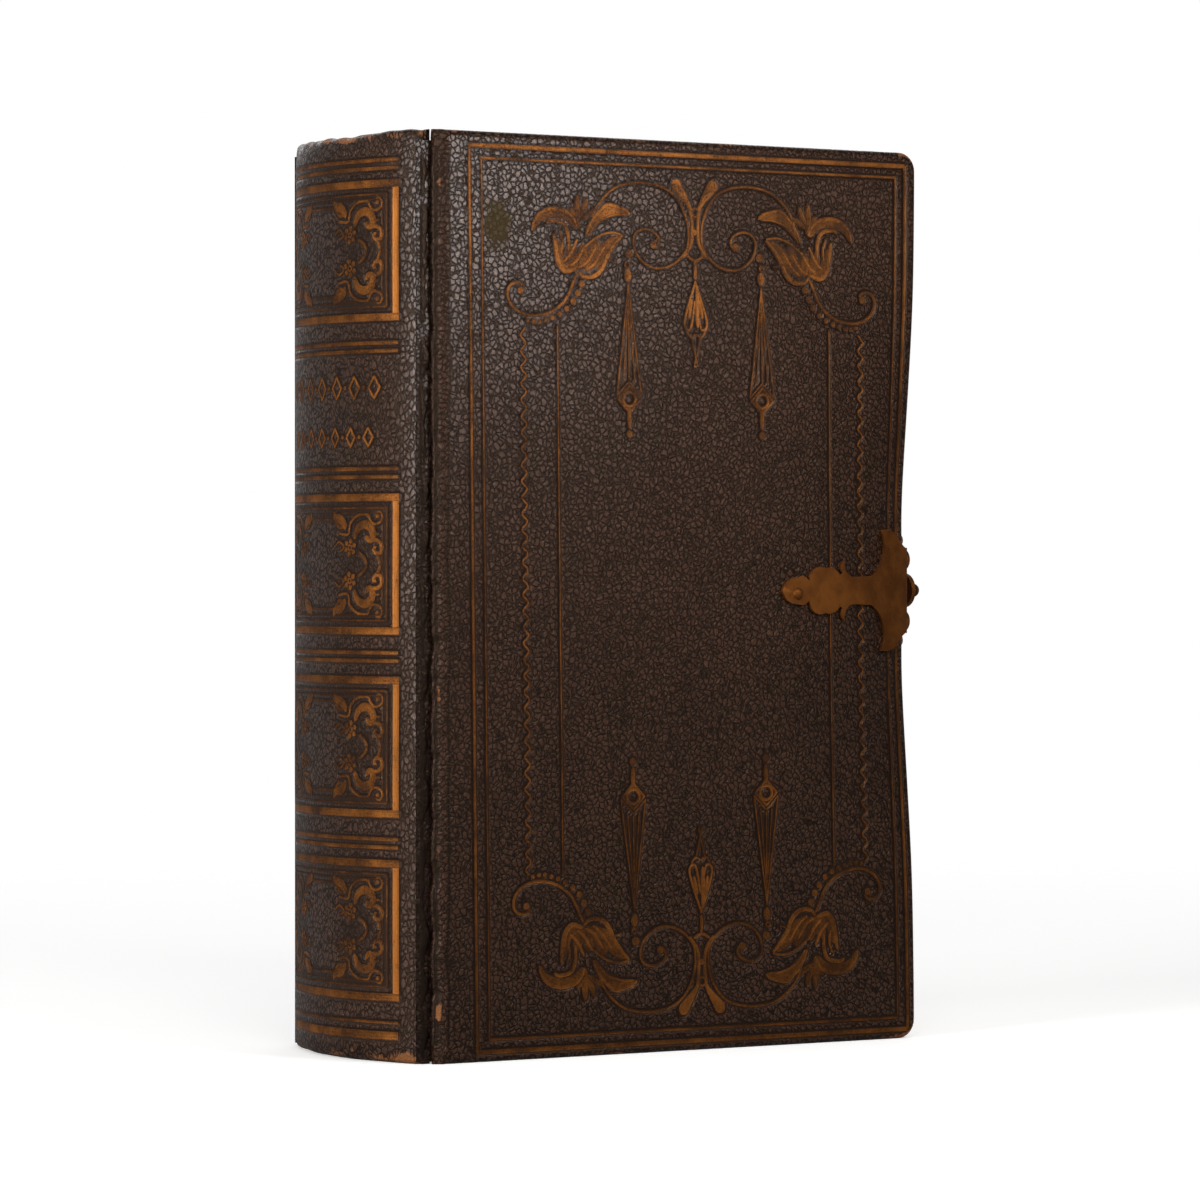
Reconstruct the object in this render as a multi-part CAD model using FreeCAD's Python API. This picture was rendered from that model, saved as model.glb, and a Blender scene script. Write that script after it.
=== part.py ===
import FreeCAD, Part
import math
import os

Vector = FreeCAD.Vector

# A small leather-bound book that stands upright, with a brass clasp at its fore-edge.
# Millimetres. +Z is up, +X runs from the spine to the fore-edge and -Y is the front cover.
# The origin is the middle of the box round the book, on the surface that it stands on.
# Every piece is drawn in a working frame whose origin is the foot of the front joint line,
# on the outer plane of the front cover, and is moved to the part's own frame when written.

# Overall sizes
height = 120.0
cover_width = 75.3
thickness = 36.4
spine_bulge = 6.4

# Covers: board, leather turned over its edges, paper laid inside the turned-in leather
leather = 0.4
board_thickness = 2.2
turn_in_width = 6.0
corner_radius = 2.5
outer_edge_radius = 0.8
inner_edge_bevel = 0.3
joint_board_edge = 1.5
joint_shoulder = 2.6
joint_depth = 0.95
joint_leather = 0.65
joint_crack = 0.3

# Bow of the covers, drawn inwards where the clasp holds the fore-edges together
bow_depth = 3.0
bow_start = 35.0
bow_flat = 17.4
bow_fade = (0.0, 0.0, 0.05, 0.1, 1.0)

# Spine: leather over a card inlay, hollow behind it
spine_leather_thickness = 0.8
inlay_thickness = 0.5
inlay_half_width = 13.0
cap_turn_in = 0.4
cap_turn_in_length = 12.0
cap_edge_radius = 0.55

# Text block, its linings, cords and bands
head_square = 2.0
fore_square = 2.8
block_clearance = 0.25
flyleaf_thickness = 0.2
sheet_bed = 0.02
back_round = 4.3
back_apex = 4.0
shoulder_depth = 2.2
shoulder_length = 1.5
fore_hollow = 4.0
lining_thickness = 0.4
lining_half_width = 15.0
lining_end = 14.0
cord_diameter = 1.0
cord_count = 4
cord_kerf = 1.1
cord_sides = 8
band_diameter = 1.5
band_half_width = 12.5

# Gilt lines pressed into the leather
gilt_press = 0.15
gilt_thickness = 0.05
border_outer_line = 0.65
border_inner_line = 0.35
border_outer_edge = 1.45
border_inner_gap = 1.2
border_joint_edge = 5.6
spine_line = 0.55
spine_line_pitch = 1.2
spine_line_half = 14.0
panel_half = 14.7
panel_line = 1.0
panel_height = 18.2
panel_tops = (113.8, 73.3, 49.5, 25.9)
double_lines = (116.1, 92.4, 75.8, 51.9, 28.2)
foot_lines = ((5.2, 0.4), (3.65, 1.1))

# Clasp
clasp_middle = 60.7
clasp_plate = 0.5
clasp_bed = 0.05
clasp_return = 1.7
clasp_bend = 0.9
clasp_inner_bend = 0.45
finger_length = 22.1
rivet_from_tip = 2.55
rivet_shank = 0.9
rivet_head = 1.6
rivet_head_height = 0.45
rivet_offset = 0.4
rivet_fit = 0.03
rivet_bed = 0.03
bar_half_height = 8.1
flange_half_height = 5.8

# Hasp, hinged on the back plate and lying over the front plate's edge
hasp_gap = 0.5
hasp_plate = 0.6
hasp_half_height = 7.6
hasp_waist = 5.4
hasp_free_edge = 4.1
hasp_pin_depth = 4.2
knuckle_radius = 1.1
knuckle_bury = 0.4
pin_diameter = 1.0
pin_fit = 0.05
knuckle_gap = 0.1
hasp_knuckle_half = 3.0
pin_overhang = 0.4
pin_head = 1.7
pin_head_thickness = 0.3
lobe_half = 2.35
lobe_lift = 0.65
lobe_length = 3.9
knob_diameter = 1.9
knob_height = 1.2
knob_stem = 0.8

# Allowances of the drawing itself: how far tools reach past what they cut
margin = 2.0
through = 60.0

# Sizes that follow from those above
cover_thickness = leather + board_thickness + leather
half_thickness = thickness / 2
spine_radius = (half_thickness ** 2 + spine_bulge ** 2) / (2 * spine_bulge)
spine_axis_x = spine_radius - spine_bulge
flyleaf_depth = cover_thickness + block_clearance
block_depth = flyleaf_depth + flyleaf_thickness + sheet_bed
block_fore_edge = cover_width - fore_square
block_low = head_square
block_high = height - head_square
shoulder_half = half_thickness - shoulder_depth
back_radius = (shoulder_half ** 2 + back_round ** 2) / (2 * back_round)
back_axis_x = back_radius - back_apex
shoulder_x = back_round - back_apex
finger_root = cover_width - finger_length - margin
finger_rivet = cover_width - finger_length + rivet_from_tip
flange_x = cover_width + clasp_bed + clasp_plate
hasp_inner_x = flange_x + hasp_gap
hasp_outer_x = hasp_inner_x + hasp_plate
pin_x = flange_x - knuckle_bury + knuckle_radius
pin_y = thickness - hasp_pin_depth
knob_x = hasp_outer_x + lobe_lift
reach_x = knob_x + knob_height
bow_low = clasp_middle - bow_flat / 2
bow_high = clasp_middle + bow_flat / 2
to_part_frame = Vector((spine_bulge - reach_x) / 2, -half_thickness, 0)


def box(x0, x1, y0, y1, z0, z1):
    """Block between two corners."""
    return Part.makeBox(x1 - x0, y1 - y0, z1 - z0, Vector(x0, y0, z0))


def seen_from_front(points):
    """Wire in the X-Z plane: each entry is a corner, or a pair with the middle of an arc."""
    return path(points, lambda x, z: Vector(x, -through / 2, z))


def seen_from_above(points, z):
    """Wire in a level plane, written as seen_from_front is."""
    return path(points, lambda x, y: Vector(x, y, z))


def seen_from_fore_edge(points, x):
    """Wire in the Y-Z plane, written as seen_from_front is."""
    return path(points, lambda y, z: Vector(x, y, z))


def path(points, place):
    """Wire of straight lines and three-point arcs, closed by a line if it ends elsewhere."""
    edges = []
    last = points[0]
    closing = [] if points[-1][-2:] == points[0] else [points[0]]
    for entry in points[1:] + closing:
        start = place(*last)
        end = place(*entry[-2:])
        if len(entry) == 2:
            edges.append(Part.LineSegment(start, end).toShape())
        else:
            edges.append(Part.Arc(start, place(*entry[:2]), end).toShape())
        last = entry[-2:]
    return Part.Wire(edges)


def both_halves(half):
    """Whole outline from its upper half, given as distances from the clasp's centre line."""
    lower = []
    for here, last in zip(reversed(half), reversed(half[:-1])):
        bend = (here[0], -here[1]) if len(here) == 4 else ()
        lower.append(bend + (last[-2], -last[-1]))
    turn = (half[-1][-2], -half[-1][-1])
    return [at_clasp(entry) for entry in half + [turn] + lower]


def at_clasp(entry):
    """Outline entry lifted to the clasp's height."""
    return tuple(value + clasp_middle * (place % 2) for place, value in enumerate(entry))


def prism(wire, way):
    """Solid swept straight from a flat wire."""
    return Part.Face(wire).extrude(way)


def through_cover(points):
    """Solid of a front-view outline, right through the book."""
    return prism(seen_from_front(points), Vector(0, through + thickness, 0))


def cover_outline(joint_x, inset, radius):
    """Front view of a cover or a layer of it, square at the joint, rounded at the fore-edge."""
    fore = cover_width - inset
    low = inset
    high = height - inset
    bend = radius * (1 - math.sqrt(0.5))
    return [
        (joint_x, low),
        (fore - radius, low),
        (fore - bend, low + bend, fore, low + radius),
        (fore, high - radius),
        (fore - bend, high - bend, fore - radius, high),
        (joint_x, high),
    ]


def bow_at(x):
    """How far a cover is drawn inwards at the clasp's height."""
    share = max(0.0, x - bow_start) / (cover_width - bow_start)
    return bow_depth * share ** 5


def bow_patch(depth, heights, shares):
    """Part of a cover's outer surface past bow_start, between two heights."""
    far_x = cover_width + margin
    poles = []
    for step in range(6):
        x = bow_start + (far_x - bow_start) * step / 5
        rise = bow_at(far_x) if step == 5 else 0.0
        row = []
        for place, share in enumerate(shares):
            z = heights[0] + (heights[1] - heights[0]) * place / (len(shares) - 1)
            row.append(Vector(x, depth + rise * share, z))
        poles.append(row)
    across = len(shares)
    sheet = Part.BSplineSurface()
    sheet.buildFromPolesMultsKnots(poles, [6, 6], [across, across], [0.0, 1.0], [0.0, 1.0],
                                   False, False, 5, across - 1)
    return sheet.toShape()


def bow_sheet(depth):
    """Outer surface of a cover past bow_start, moved inwards by a depth, as three patches."""
    fade = list(bow_fade) + [1.0]
    return [
        bow_patch(depth, (-margin, bow_low), fade),
        bow_patch(depth, (bow_low, bow_high), [1.0, 1.0]),
        bow_patch(depth, (bow_high, height + margin), list(reversed(fade))),
    ]


def behind_sheet(depth, reach):
    """Everything within a reach behind a cover's outer surface at a depth, past bow_start."""
    below, middle, above = [face.extrude(Vector(0, reach, 0)) for face in bow_sheet(depth)]
    return middle.multiFuse([below, above])


def slab(near, far):
    """All of a cover between two depths, flat by the joint and bowed by the fore-edge."""
    flat = box(-margin, bow_start, near, far, -margin, height + margin)
    return flat.fuse(behind_sheet(near, far - near))


def layer(near, far, points):
    """Slab between two depths, inside a front-view outline."""
    return slab(near, far).common(through_cover(points))


def rim_edges(shape, depth):
    """Edges round a cover's face at one depth, apart from the edge at the joint."""
    flat = Part.makePlane(bow_start + margin, height, Vector(-margin, depth, 0), Vector(0, -1, 0))
    face = Part.Compound(bow_sheet(depth) + [flat])
    chosen = []
    for edge in shape.Edges:
        middle = edge.valueAt((edge.FirstParameter + edge.LastParameter) / 2)
        on_face = Part.Vertex(middle).distToShape(face)[0] < 0.001
        near_end = middle.z < margin or middle.z > height - margin
        near_fore = middle.x > cover_width - margin
        if on_face and (near_end or near_fore):
            chosen.append(edge)
    return chosen


def frame_outline(edge, joint_edge):
    """Front-view rectangle of a border line."""
    fore = cover_width - edge
    return [(joint_edge, edge), (fore, edge), (fore, height - edge), (joint_edge, height - edge)]


def border_line(near, far, edge, joint_edge, width):
    """One rectangular line of the cover's border, between two depths."""
    outer = layer(near, far, frame_outline(edge, joint_edge))
    inner = through_cover(frame_outline(edge + width, joint_edge + width))
    return outer.cut(inner)


def border(near, far):
    """The double border of a cover, a broad line and a fine one inside it."""
    inner_edge = border_outer_edge + border_outer_line + border_inner_gap
    inner_joint = border_joint_edge + border_outer_line + border_inner_gap
    broad = border_line(near, far, border_outer_edge - border_outer_line / 2,
                        border_joint_edge, border_outer_line)
    fine = border_line(near, far, inner_edge - border_outer_line / 2,
                       inner_joint, border_inner_line)
    return Part.Compound([broad, fine])


def joint_flap():
    """Leather worked down into the joint, from the board's edge to the crack."""
    half_crack = joint_crack / 2
    foot = joint_depth + joint_leather
    curve = Part.BezierCurve()
    curve.setPoles([
        Vector(joint_shoulder, 0, 0),
        Vector(joint_shoulder * 0.45, 0, 0),
        Vector(joint_shoulder * 0.3, joint_depth * 0.75, 0),
        Vector(half_crack, joint_depth, 0),
    ])
    corners = [
        Vector(half_crack, joint_depth, 0),
        Vector(half_crack, foot, 0),
        Vector(joint_board_edge, foot, 0),
        Vector(joint_board_edge, leather, 0),
        Vector(joint_shoulder, leather, 0),
        Vector(joint_shoulder, 0, 0),
    ]
    lines = [Part.LineSegment(a, b).toShape() for a, b in zip(corners, corners[1:])]
    wire = Part.Wire(Part.__sortEdges__([curve.toShape()] + lines))
    return prism(wire, Vector(0, 0, height))


def cover_leather():
    """Leather of a cover: over the board, round three edges and turned in behind."""
    skin = layer(0, cover_thickness, cover_outline(joint_board_edge, 0, corner_radius))
    skin = skin.makeFillet(outer_edge_radius, rim_edges(skin, 0))
    skin = skin.makeChamfer(inner_edge_bevel, rim_edges(skin, cover_thickness))
    pocket = layer(leather, leather + board_thickness,
                   cover_outline(0, leather, corner_radius - leather))
    window = layer(cover_thickness / 2, cover_thickness + margin, window_outline(0))
    hollow_joint = box(-1, joint_shoulder, -1, leather, -1, height + 1)
    skin = skin.cut(pocket).cut(window).cut(hollow_joint)
    skin = skin.fuse(joint_flap())
    return skin.cut(border(-1, gilt_press))


def window_outline(joint_x):
    """Front-view outline of the paper side inside the turned-in leather."""
    return [
        (joint_x, turn_in_width),
        (cover_width - turn_in_width, turn_in_width),
        (cover_width - turn_in_width, height - turn_in_width),
        (joint_x, height - turn_in_width),
    ]


def drilled(shape, hole):
    """Shape with the clasp's rivet hole through it."""
    return shape.cut(hole)


def rivet_place(depth):
    """Point on the axis of the clasp's rivet."""
    return Vector(finger_rivet, depth, clasp_middle - rivet_offset)


def rivet_hole():
    """Hole for the rivet's shank, from the plate to the inside of the board."""
    radius = rivet_shank / 2 + rivet_fit
    return Part.makeCylinder(radius, 2 * through, rivet_place(-through), Vector(0, 1, 0))


def clasp_rivet():
    """Rivet of a clasp plate: domed head, shank through the board, clenched under the paper."""
    seat = bow_at(finger_rivet) - clasp_bed - clasp_plate - rivet_bed
    foot = leather + board_thickness + bow_at(finger_rivet) - rivet_bed
    shank = Part.makeCylinder(rivet_shank / 2, foot - seat, rivet_place(seat), Vector(0, 1, 0))
    head_radius = rivet_head / 2
    dome_radius = (head_radius ** 2 + rivet_head_height ** 2) / (2 * rivet_head_height)
    ball = Part.makeSphere(dome_radius, rivet_place(seat - rivet_head_height + dome_radius))
    keep = Part.makeCylinder(head_radius + margin, margin, rivet_place(seat), Vector(0, -1, 0))
    return shank.fuse(ball.common(keep))


def board():
    """Board of a cover, inside its leather."""
    outline = cover_outline(joint_board_edge, leather, corner_radius - leather)
    return drilled(layer(leather, leather + board_thickness, outline), rivet_hole())


def pastedown():
    """Paper laid on the inside of a board, within the turned-in leather."""
    return layer(leather + board_thickness, cover_thickness, window_outline(joint_board_edge))


def gilt_border():
    """Gilt of a cover's border, at the bottom of its pressed lines."""
    return border(gilt_press - gilt_thickness, gilt_press)


def bow_curve(start_x, end_x, depth):
    """Plan curve of the bow at the clasp's height, moved inwards by a depth."""
    far_x = cover_width + margin
    places = [bow_start + (far_x - bow_start) * step / 5 for step in range(6)]
    poles = [Vector(x, depth, 0) for x in places[:-1]] + [Vector(far_x, depth + bow_at(far_x), 0)]
    curve = Part.BezierCurve()
    curve.setPoles(poles)
    share = [(x - bow_start) / (far_x - bow_start) for x in (start_x, end_x)]
    curve.segment(share[0], share[1])
    return curve


def clasp_section():
    """Plan of a clasp plate: along the cover, round its fore-edge and back behind it."""
    skin_x = cover_width + clasp_bed
    return_x = cover_width - clasp_return
    behind = cover_thickness + clasp_bed
    curves = [
        bow_curve(finger_root, flange_x, -clasp_bed - clasp_plate),
        bow_curve(return_x, flange_x, behind + clasp_plate),
        bow_curve(return_x, skin_x, behind),
        bow_curve(finger_root, skin_x, -clasp_bed),
    ]
    ends = [(curve.getPole(1), curve.getPole(curve.NbPoles)) for curve in curves]
    front, back, back_inner, front_inner = ends
    joins = [(front[1], back[1]), (back[0], back_inner[0]),
             (back_inner[1], front_inner[1]), (front_inner[0], front[0])]
    lines = [Part.LineSegment(start, end).toShape() for start, end in joins]
    edges = [curve.toShape() for curve in curves] + lines
    return Part.Wire(Part.__sortEdges__(edges))


def half_clasp_outline():
    """Upper half of a clasp plate's front view, as distances from its centre line."""
    rivet_share = rivet_from_tip / finger_length
    shares = [
        (0.0, 0.0),
        (0.036, 0.154, rivet_share, 0.222),
        (0.176, 0.216, 0.199, 0.16),
        (0.231, 0.34, 0.321, 0.37),
        (0.403, 0.34, 0.43, 0.259),
        (0.45, 0.29),
        (0.441, 0.407, 0.471, 0.506),
        (0.484, 0.309, 0.543, 0.228),
        (0.683, 0.241),
        (0.756, 0.395, 0.794, 0.667),
        (0.796, 0.852, 0.765, 1.0),
        (0.864, 0.994, 0.925, 0.889),
    ]
    tip = cover_width - finger_length
    half = []
    for entry in shares:
        half.append(tuple(tip + share * finger_length if place % 2 == 0
                          else share * bar_half_height for place, share in enumerate(entry)))
    last = half[-1][-1]
    half.append((tip + 0.957 * finger_length, 0.4 * last + 0.6 * flange_half_height,
                 tip + 0.995 * finger_length, flange_half_height))
    half.append((cover_width + margin, flange_half_height))
    return half


def clasp_plate_solid():
    """Brass plate of one cover: shaped finger and bar, flange on the fore-edge, return behind."""
    half = bar_half_height + margin / 2
    section = clasp_section()
    plate = Part.Face(section).extrude(Vector(0, 0, 2 * half))
    plate.translate(Vector(0, 0, clasp_middle - half))
    outer = plate_corner(plate, flange_x, -clasp_bed - clasp_plate)
    plate = plate.makeFillet(clasp_bend, outer)
    inner = plate_corner(plate, cover_width + clasp_bed, -clasp_bed)
    plate = plate.makeFillet(clasp_inner_bend, inner)
    return plate.common(through_cover(both_halves(half_clasp_outline())))


def plate_corner(plate, x, depth):
    """Upright edge of a clasp plate at a place along the cover."""
    found = []
    for edge in plate.Edges:
        middle = edge.valueAt((edge.FirstParameter + edge.LastParameter) / 2)
        if abs(middle.x - x) < 0.01 and abs(middle.y - bow_at(x) - depth) < 0.01:
            found.append(edge)
    return found


def hinge_cylinder(radius, low, high):
    """Upright cylinder on the hasp's hinge line, between two heights from the clasp's middle."""
    return Part.makeCylinder(radius, high - low, Vector(pin_x, pin_y, clasp_middle + low))


def back_clasp_plate():
    """Clasp plate of the back cover, with the two outer knuckles of the hasp's hinge."""
    low = hasp_knuckle_half + knuckle_gap
    slot = hinge_cylinder(knuckle_radius + knuckle_gap, -low, low)
    plate = to_back(drilled(clasp_plate_solid(), rivet_hole())).cut(slot)
    upper = hinge_cylinder(knuckle_radius, low, flange_half_height)
    lower = hinge_cylinder(knuckle_radius, -flange_half_height, -low)
    bore = hinge_cylinder(pin_diameter / 2, -through / 2, through / 2)
    return plate.fuse(upper).fuse(lower).cut(bore)


def hasp_pin():
    """Hinge pin of the hasp, headed at both ends."""
    half = flange_half_height + pin_overhang
    pin = hinge_cylinder(pin_diameter / 2, -half, half)
    top = hinge_cylinder(pin_head / 2, half - pin_head_thickness, half)
    foot = hinge_cylinder(pin_head / 2, -half, pin_head_thickness - half)
    return pin.fuse(top).fuse(foot)


def hasp():
    """Hinged strap over the fore-edge, with a knuckle, a waist and a scalloped free edge."""
    free = hasp_free_edge
    root = pin_y - knuckle_radius - knuckle_gap * 4
    length = root - free
    head = hasp_half_height
    waist = hasp_waist
    neck = hasp_knuckle_half
    half = [
        (pin_y, neck),
        (root, neck),
        (root, waist),
        (free + 0.526 * length, waist),
        (free + 0.357 * length, waist + 0.053 * head, free + 0.263 * length, 0.961 * head),
        (free + 0.207 * length, 1.013 * head, free + 0.135 * length, 0.961 * head),
        (free + 0.071 * length, 0.928 * head, free + 0.098 * length, 0.776 * head),
        (free + 0.086 * length, 0.737 * head),
        (free + 0.015 * length, 0.566 * head, free + 0.071 * length, 0.355 * head),
    ]
    outline = seen_from_fore_edge(both_halves(half), hasp_inner_x)
    strap = prism(outline, Vector(hasp_plate, 0, 0))
    tongue = box(hasp_inner_x - 1, hasp_outer_x + 1, free - 1, free + lobe_length,
                 clasp_middle - lobe_half, clasp_middle + lobe_half)
    knuckle = hinge_cylinder(knuckle_radius, -neck, neck)
    bore = hinge_cylinder(pin_diameter / 2 + pin_fit, -neck - 1, neck + 1)
    strap = strap.cut(tongue).fuse(thumb_lobe(free + lobe_length))
    return strap.fuse(knuckle).cut(bore).cut(knob_hole())


def thumb_lobe(root):
    """Middle lobe of the hasp's free edge, sprung outwards so that a thumb can lift it."""
    free = hasp_free_edge
    lift = lobe_lift
    bend = root - 0.487 * lobe_length
    plan = [
        (hasp_inner_x, root),
        (hasp_outer_x, root),
        (hasp_outer_x + lift * 0.2, root - 0.308 * lobe_length, hasp_outer_x + lift, bend),
        (hasp_outer_x + lift, free),
        (hasp_inner_x + lift, free),
        (hasp_inner_x + lift, bend),
        (hasp_inner_x + lift * 0.2, root - 0.308 * lobe_length, hasp_inner_x, root),
    ]
    low = clasp_middle - lobe_half
    lobe = prism(seen_from_above(plan, low), Vector(0, 0, 2 * lobe_half))
    nose = [
        (root + 1, clasp_middle - lobe_half),
        (root + 1, clasp_middle + lobe_half),
        (free + lobe_half, clasp_middle + lobe_half),
        (free, clasp_middle, free + lobe_half, clasp_middle - lobe_half),
    ]
    trim = prism(seen_from_fore_edge(nose, hasp_inner_x - 1), Vector(hasp_plate + lift + 2, 0, 0))
    return lobe.common(trim)


def knob_point(x):
    """Point on the axis of the hasp's knob."""
    return Vector(x, hasp_free_edge + knob_diameter / 2 + 0.2, clasp_middle)


def knob_hole():
    """Hole for the knob's stem."""
    return Part.makeCylinder(knob_stem / 2, 4, knob_point(hasp_inner_x - 1), Vector(1, 0, 0))


def hasp_knob():
    """Small turned knob riveted in the hasp's middle lobe: stem, hollowed neck, round crown."""
    radius = knob_diameter / 2
    foot = hasp_inner_x + lobe_lift
    neck = radius * 0.62
    rim_x = knob_x + knob_height * 0.35
    crown = knob_x + knob_height
    rise = crown - rim_x
    crown_radius = (radius ** 2 + rise ** 2) / (2 * rise)
    centre = crown - crown_radius
    lean = math.atan2(radius, rim_x - centre) / 2
    on_crown = Vector(centre + crown_radius * math.cos(lean), crown_radius * math.sin(lean), 0)
    corners = [
        Vector(crown, 0, 0),
        Vector(foot, 0, 0),
        Vector(foot, knob_stem / 2, 0),
        Vector(knob_x, knob_stem / 2, 0),
        Vector(knob_x, neck, 0),
    ]
    rim = Vector(rim_x, radius, 0)
    in_neck = Vector((knob_x + rim_x) / 2, neck, 0)
    edges = [Part.LineSegment(start, end).toShape() for start, end in zip(corners, corners[1:])]
    edges.append(Part.Arc(corners[-1], in_neck, rim).toShape())
    edges.append(Part.Arc(rim, on_crown, corners[0]).toShape())
    knob = Part.Face(Part.Wire(edges)).revolve(Vector(0, 0, 0), Vector(1, 0, 0), 360)
    knob.translate(knob_point(0))
    return knob


def to_back(shape):
    """Mirror image of a front piece, on the back cover."""
    return shape.mirror(Vector(0, half_thickness, 0), Vector(0, 1, 0))


def arc_of_back(radius, axis_x, half_width):
    """Ends and middle of an arc round the spine, as plan points from front to back."""
    reach = math.sqrt(radius ** 2 - half_width ** 2)
    return [
        (axis_x - reach, half_thickness - half_width),
        (axis_x - radius, half_thickness),
        (axis_x - reach, half_thickness + half_width),
    ]


def curved_strip(outer_radius, wall, axis_x, half_width, low, high):
    """Upright strip bent round the spine, with square sides."""
    outer = arc_of_back(outer_radius, axis_x, half_width)
    inner = arc_of_back(outer_radius - wall, axis_x, half_width)
    plan = [outer[0], outer[1] + outer[2], inner[2], inner[1] + inner[0]]
    return prism(seen_from_above(plan, low), Vector(0, 0, high - low))


def text_block():
    """Folded and sewn leaves as one block, rounded and backed, with a hollowed fore-edge."""
    front_side = slab_past_bow(block_depth)
    back_side = to_back(front_side)
    fore = block_fore_edge
    fore_plan = [
        (bow_start, -margin),
        (fore, -margin),
        (fore, block_depth),
        (fore - fore_hollow, half_thickness, fore, thickness - block_depth),
        (fore, thickness + margin),
        (bow_start, thickness + margin),
    ]
    rise = Vector(0, 0, block_high - block_low)
    fore_part = prism(seen_from_above(fore_plan, block_low), rise)
    fore_part = fore_part.common(front_side).common(back_side)
    tip = shoulder_x
    ease = shoulder_length
    back_plan = [
        (tip, shoulder_depth),
        (tip + ease * 0.3, block_depth - ease * 0.23, tip + ease, block_depth),
        (bow_start, block_depth),
        (bow_start, thickness - block_depth),
        (tip + ease, thickness - block_depth),
        (tip + ease * 0.3, thickness - block_depth + ease * 0.23, tip, thickness - shoulder_depth),
    ]
    outline = back_plan + [(-back_apex, half_thickness, tip, shoulder_depth)]
    block = prism(seen_from_above(outline, block_low), rise).fuse(fore_part)
    return block.cut(cord_ring(cord_kerf, cord_kerf))


def slab_past_bow(depth):
    """Everything inwards of a cover's surface at a depth, from bow_start to the fore-edge."""
    return behind_sheet(depth, through)


def cord_heights():
    """Heights of the sewing cords, evenly spread over the block."""
    pitch = (block_high - block_low) / (cord_count + 1)
    return [block_low + pitch * (step + 1) for step in range(cord_count)]


def cord_ring(depth, width):
    """Square channels round the block's back, one for each cord."""
    rings = []
    for z in cord_heights():
        rings.append(curved_strip(back_radius + margin, depth + margin, back_axis_x,
                                  band_half_width, z - width / 2, z + width / 2))
    return Part.Compound(rings)


def sewing_cords():
    """Cords let into the block's back, that the leaves are sewn to."""
    cords = []
    radius = back_radius - cord_kerf / 2
    sweep = math.degrees(math.asin((band_half_width - 0.5) / back_radius))
    for z in cord_heights():
        cords.append(ring_segment(radius, cord_diameter / 2, z, sweep, cord_sides))
    return Part.Compound(cords)


def ring_segment(radius, wire_radius, z, half_angle, sides=0):
    """Bar bent about the axis of the block's back, round or with a number of flats."""
    axis = Vector(back_axis_x, half_thickness, z)
    start = axis + Vector(-radius * math.cos(math.radians(half_angle)),
                          -radius * math.sin(math.radians(half_angle)), 0)
    way = Vector(math.sin(math.radians(half_angle)), -math.cos(math.radians(half_angle)), 0)
    ring = Part.Wire(Part.makeCircle(wire_radius, start, way))
    if sides:
        ring = Part.makePolygon(ring.discretize(sides + 1))
    return Part.Face(ring).revolve(axis, Vector(0, 0, 1), -2 * half_angle)


def end_band(z):
    """Silk-covered band sewn on one end of the block, behind the spine."""
    sweep = math.degrees(math.asin(band_half_width / back_radius))
    radius = back_radius - band_diameter / 2 - 0.1
    return ring_segment(radius, band_diameter / 2, z, sweep)


def spine_lining():
    """Mull and paper glued on the rounded back."""
    return curved_strip(back_radius + lining_thickness, lining_thickness, back_axis_x,
                        lining_half_width, lining_end, height - lining_end)


def spine_inlay():
    """Card that stiffens the leather of the spine."""
    outer = spine_radius - spine_leather_thickness
    return curved_strip(outer, inlay_thickness, spine_axis_x, inlay_half_width,
                        spine_leather_thickness, height - spine_leather_thickness)


def spine_levels():
    """Heights halfway between the gilt lines and frames of the spine."""
    spans = [(top - spine_line_pitch - spine_line / 2, top + spine_line / 2)
             for top in double_lines]
    spans += [(z - width / 2, z + width / 2) for z, width in foot_lines]
    spans += [(top - panel_height, top) for top in panel_tops]
    spans.sort()
    return [(low[1] + high[0]) / 2 for low, high in zip(spans, spans[1:])]


def spine_shell():
    """Skin of the spine with rounded outer edges, its face divided between the gilt lines."""
    outer = spine_radius
    inner = spine_radius - spine_leather_thickness
    ease = cap_edge_radius
    bend = ease * (1 - math.sqrt(0.5))
    section = [(inner, 0), (outer - ease, 0), (outer - bend, bend, outer, ease)]
    section += [(outer, z) for z in spine_levels()]
    section += [(outer, height - ease), (outer - bend, height - bend, outer - ease, height),
                (inner, height)]
    half = math.asin(half_thickness / spine_radius)

    def place(radius, z):
        return Vector(spine_axis_x - radius * math.cos(half),
                      half_thickness - radius * math.sin(half), z)

    axis = Vector(spine_axis_x, half_thickness, 0)
    shell = Part.Face(path(section, place)).revolve(axis, Vector(0, 0, 1), -math.degrees(2 * half))
    past_joint = box(-joint_crack / 2, spine_axis_x, -margin, thickness + margin,
                     -margin, height + margin)
    return shell.cut(past_joint)


def spine_leather():
    """Leather of the spine, folded in over the card at head and tail to form the caps."""
    end = cap_turn_in_length
    folds = []
    for low in (0, height - end):
        folds.append(curved_strip(
            spine_radius - spine_leather_thickness - inlay_thickness, cap_turn_in,
            spine_axis_x, inlay_half_width, low, low + end))
    for low in (0, height - spine_leather_thickness):
        folds.append(curved_strip(
            spine_radius - spine_leather_thickness / 2,
            spine_leather_thickness / 2 + inlay_thickness + cap_turn_in,
            spine_axis_x, inlay_half_width, low, low + spine_leather_thickness))
    return spine_shell().multiFuse(folds).cut(spine_lines(gilt_press, margin))


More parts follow.
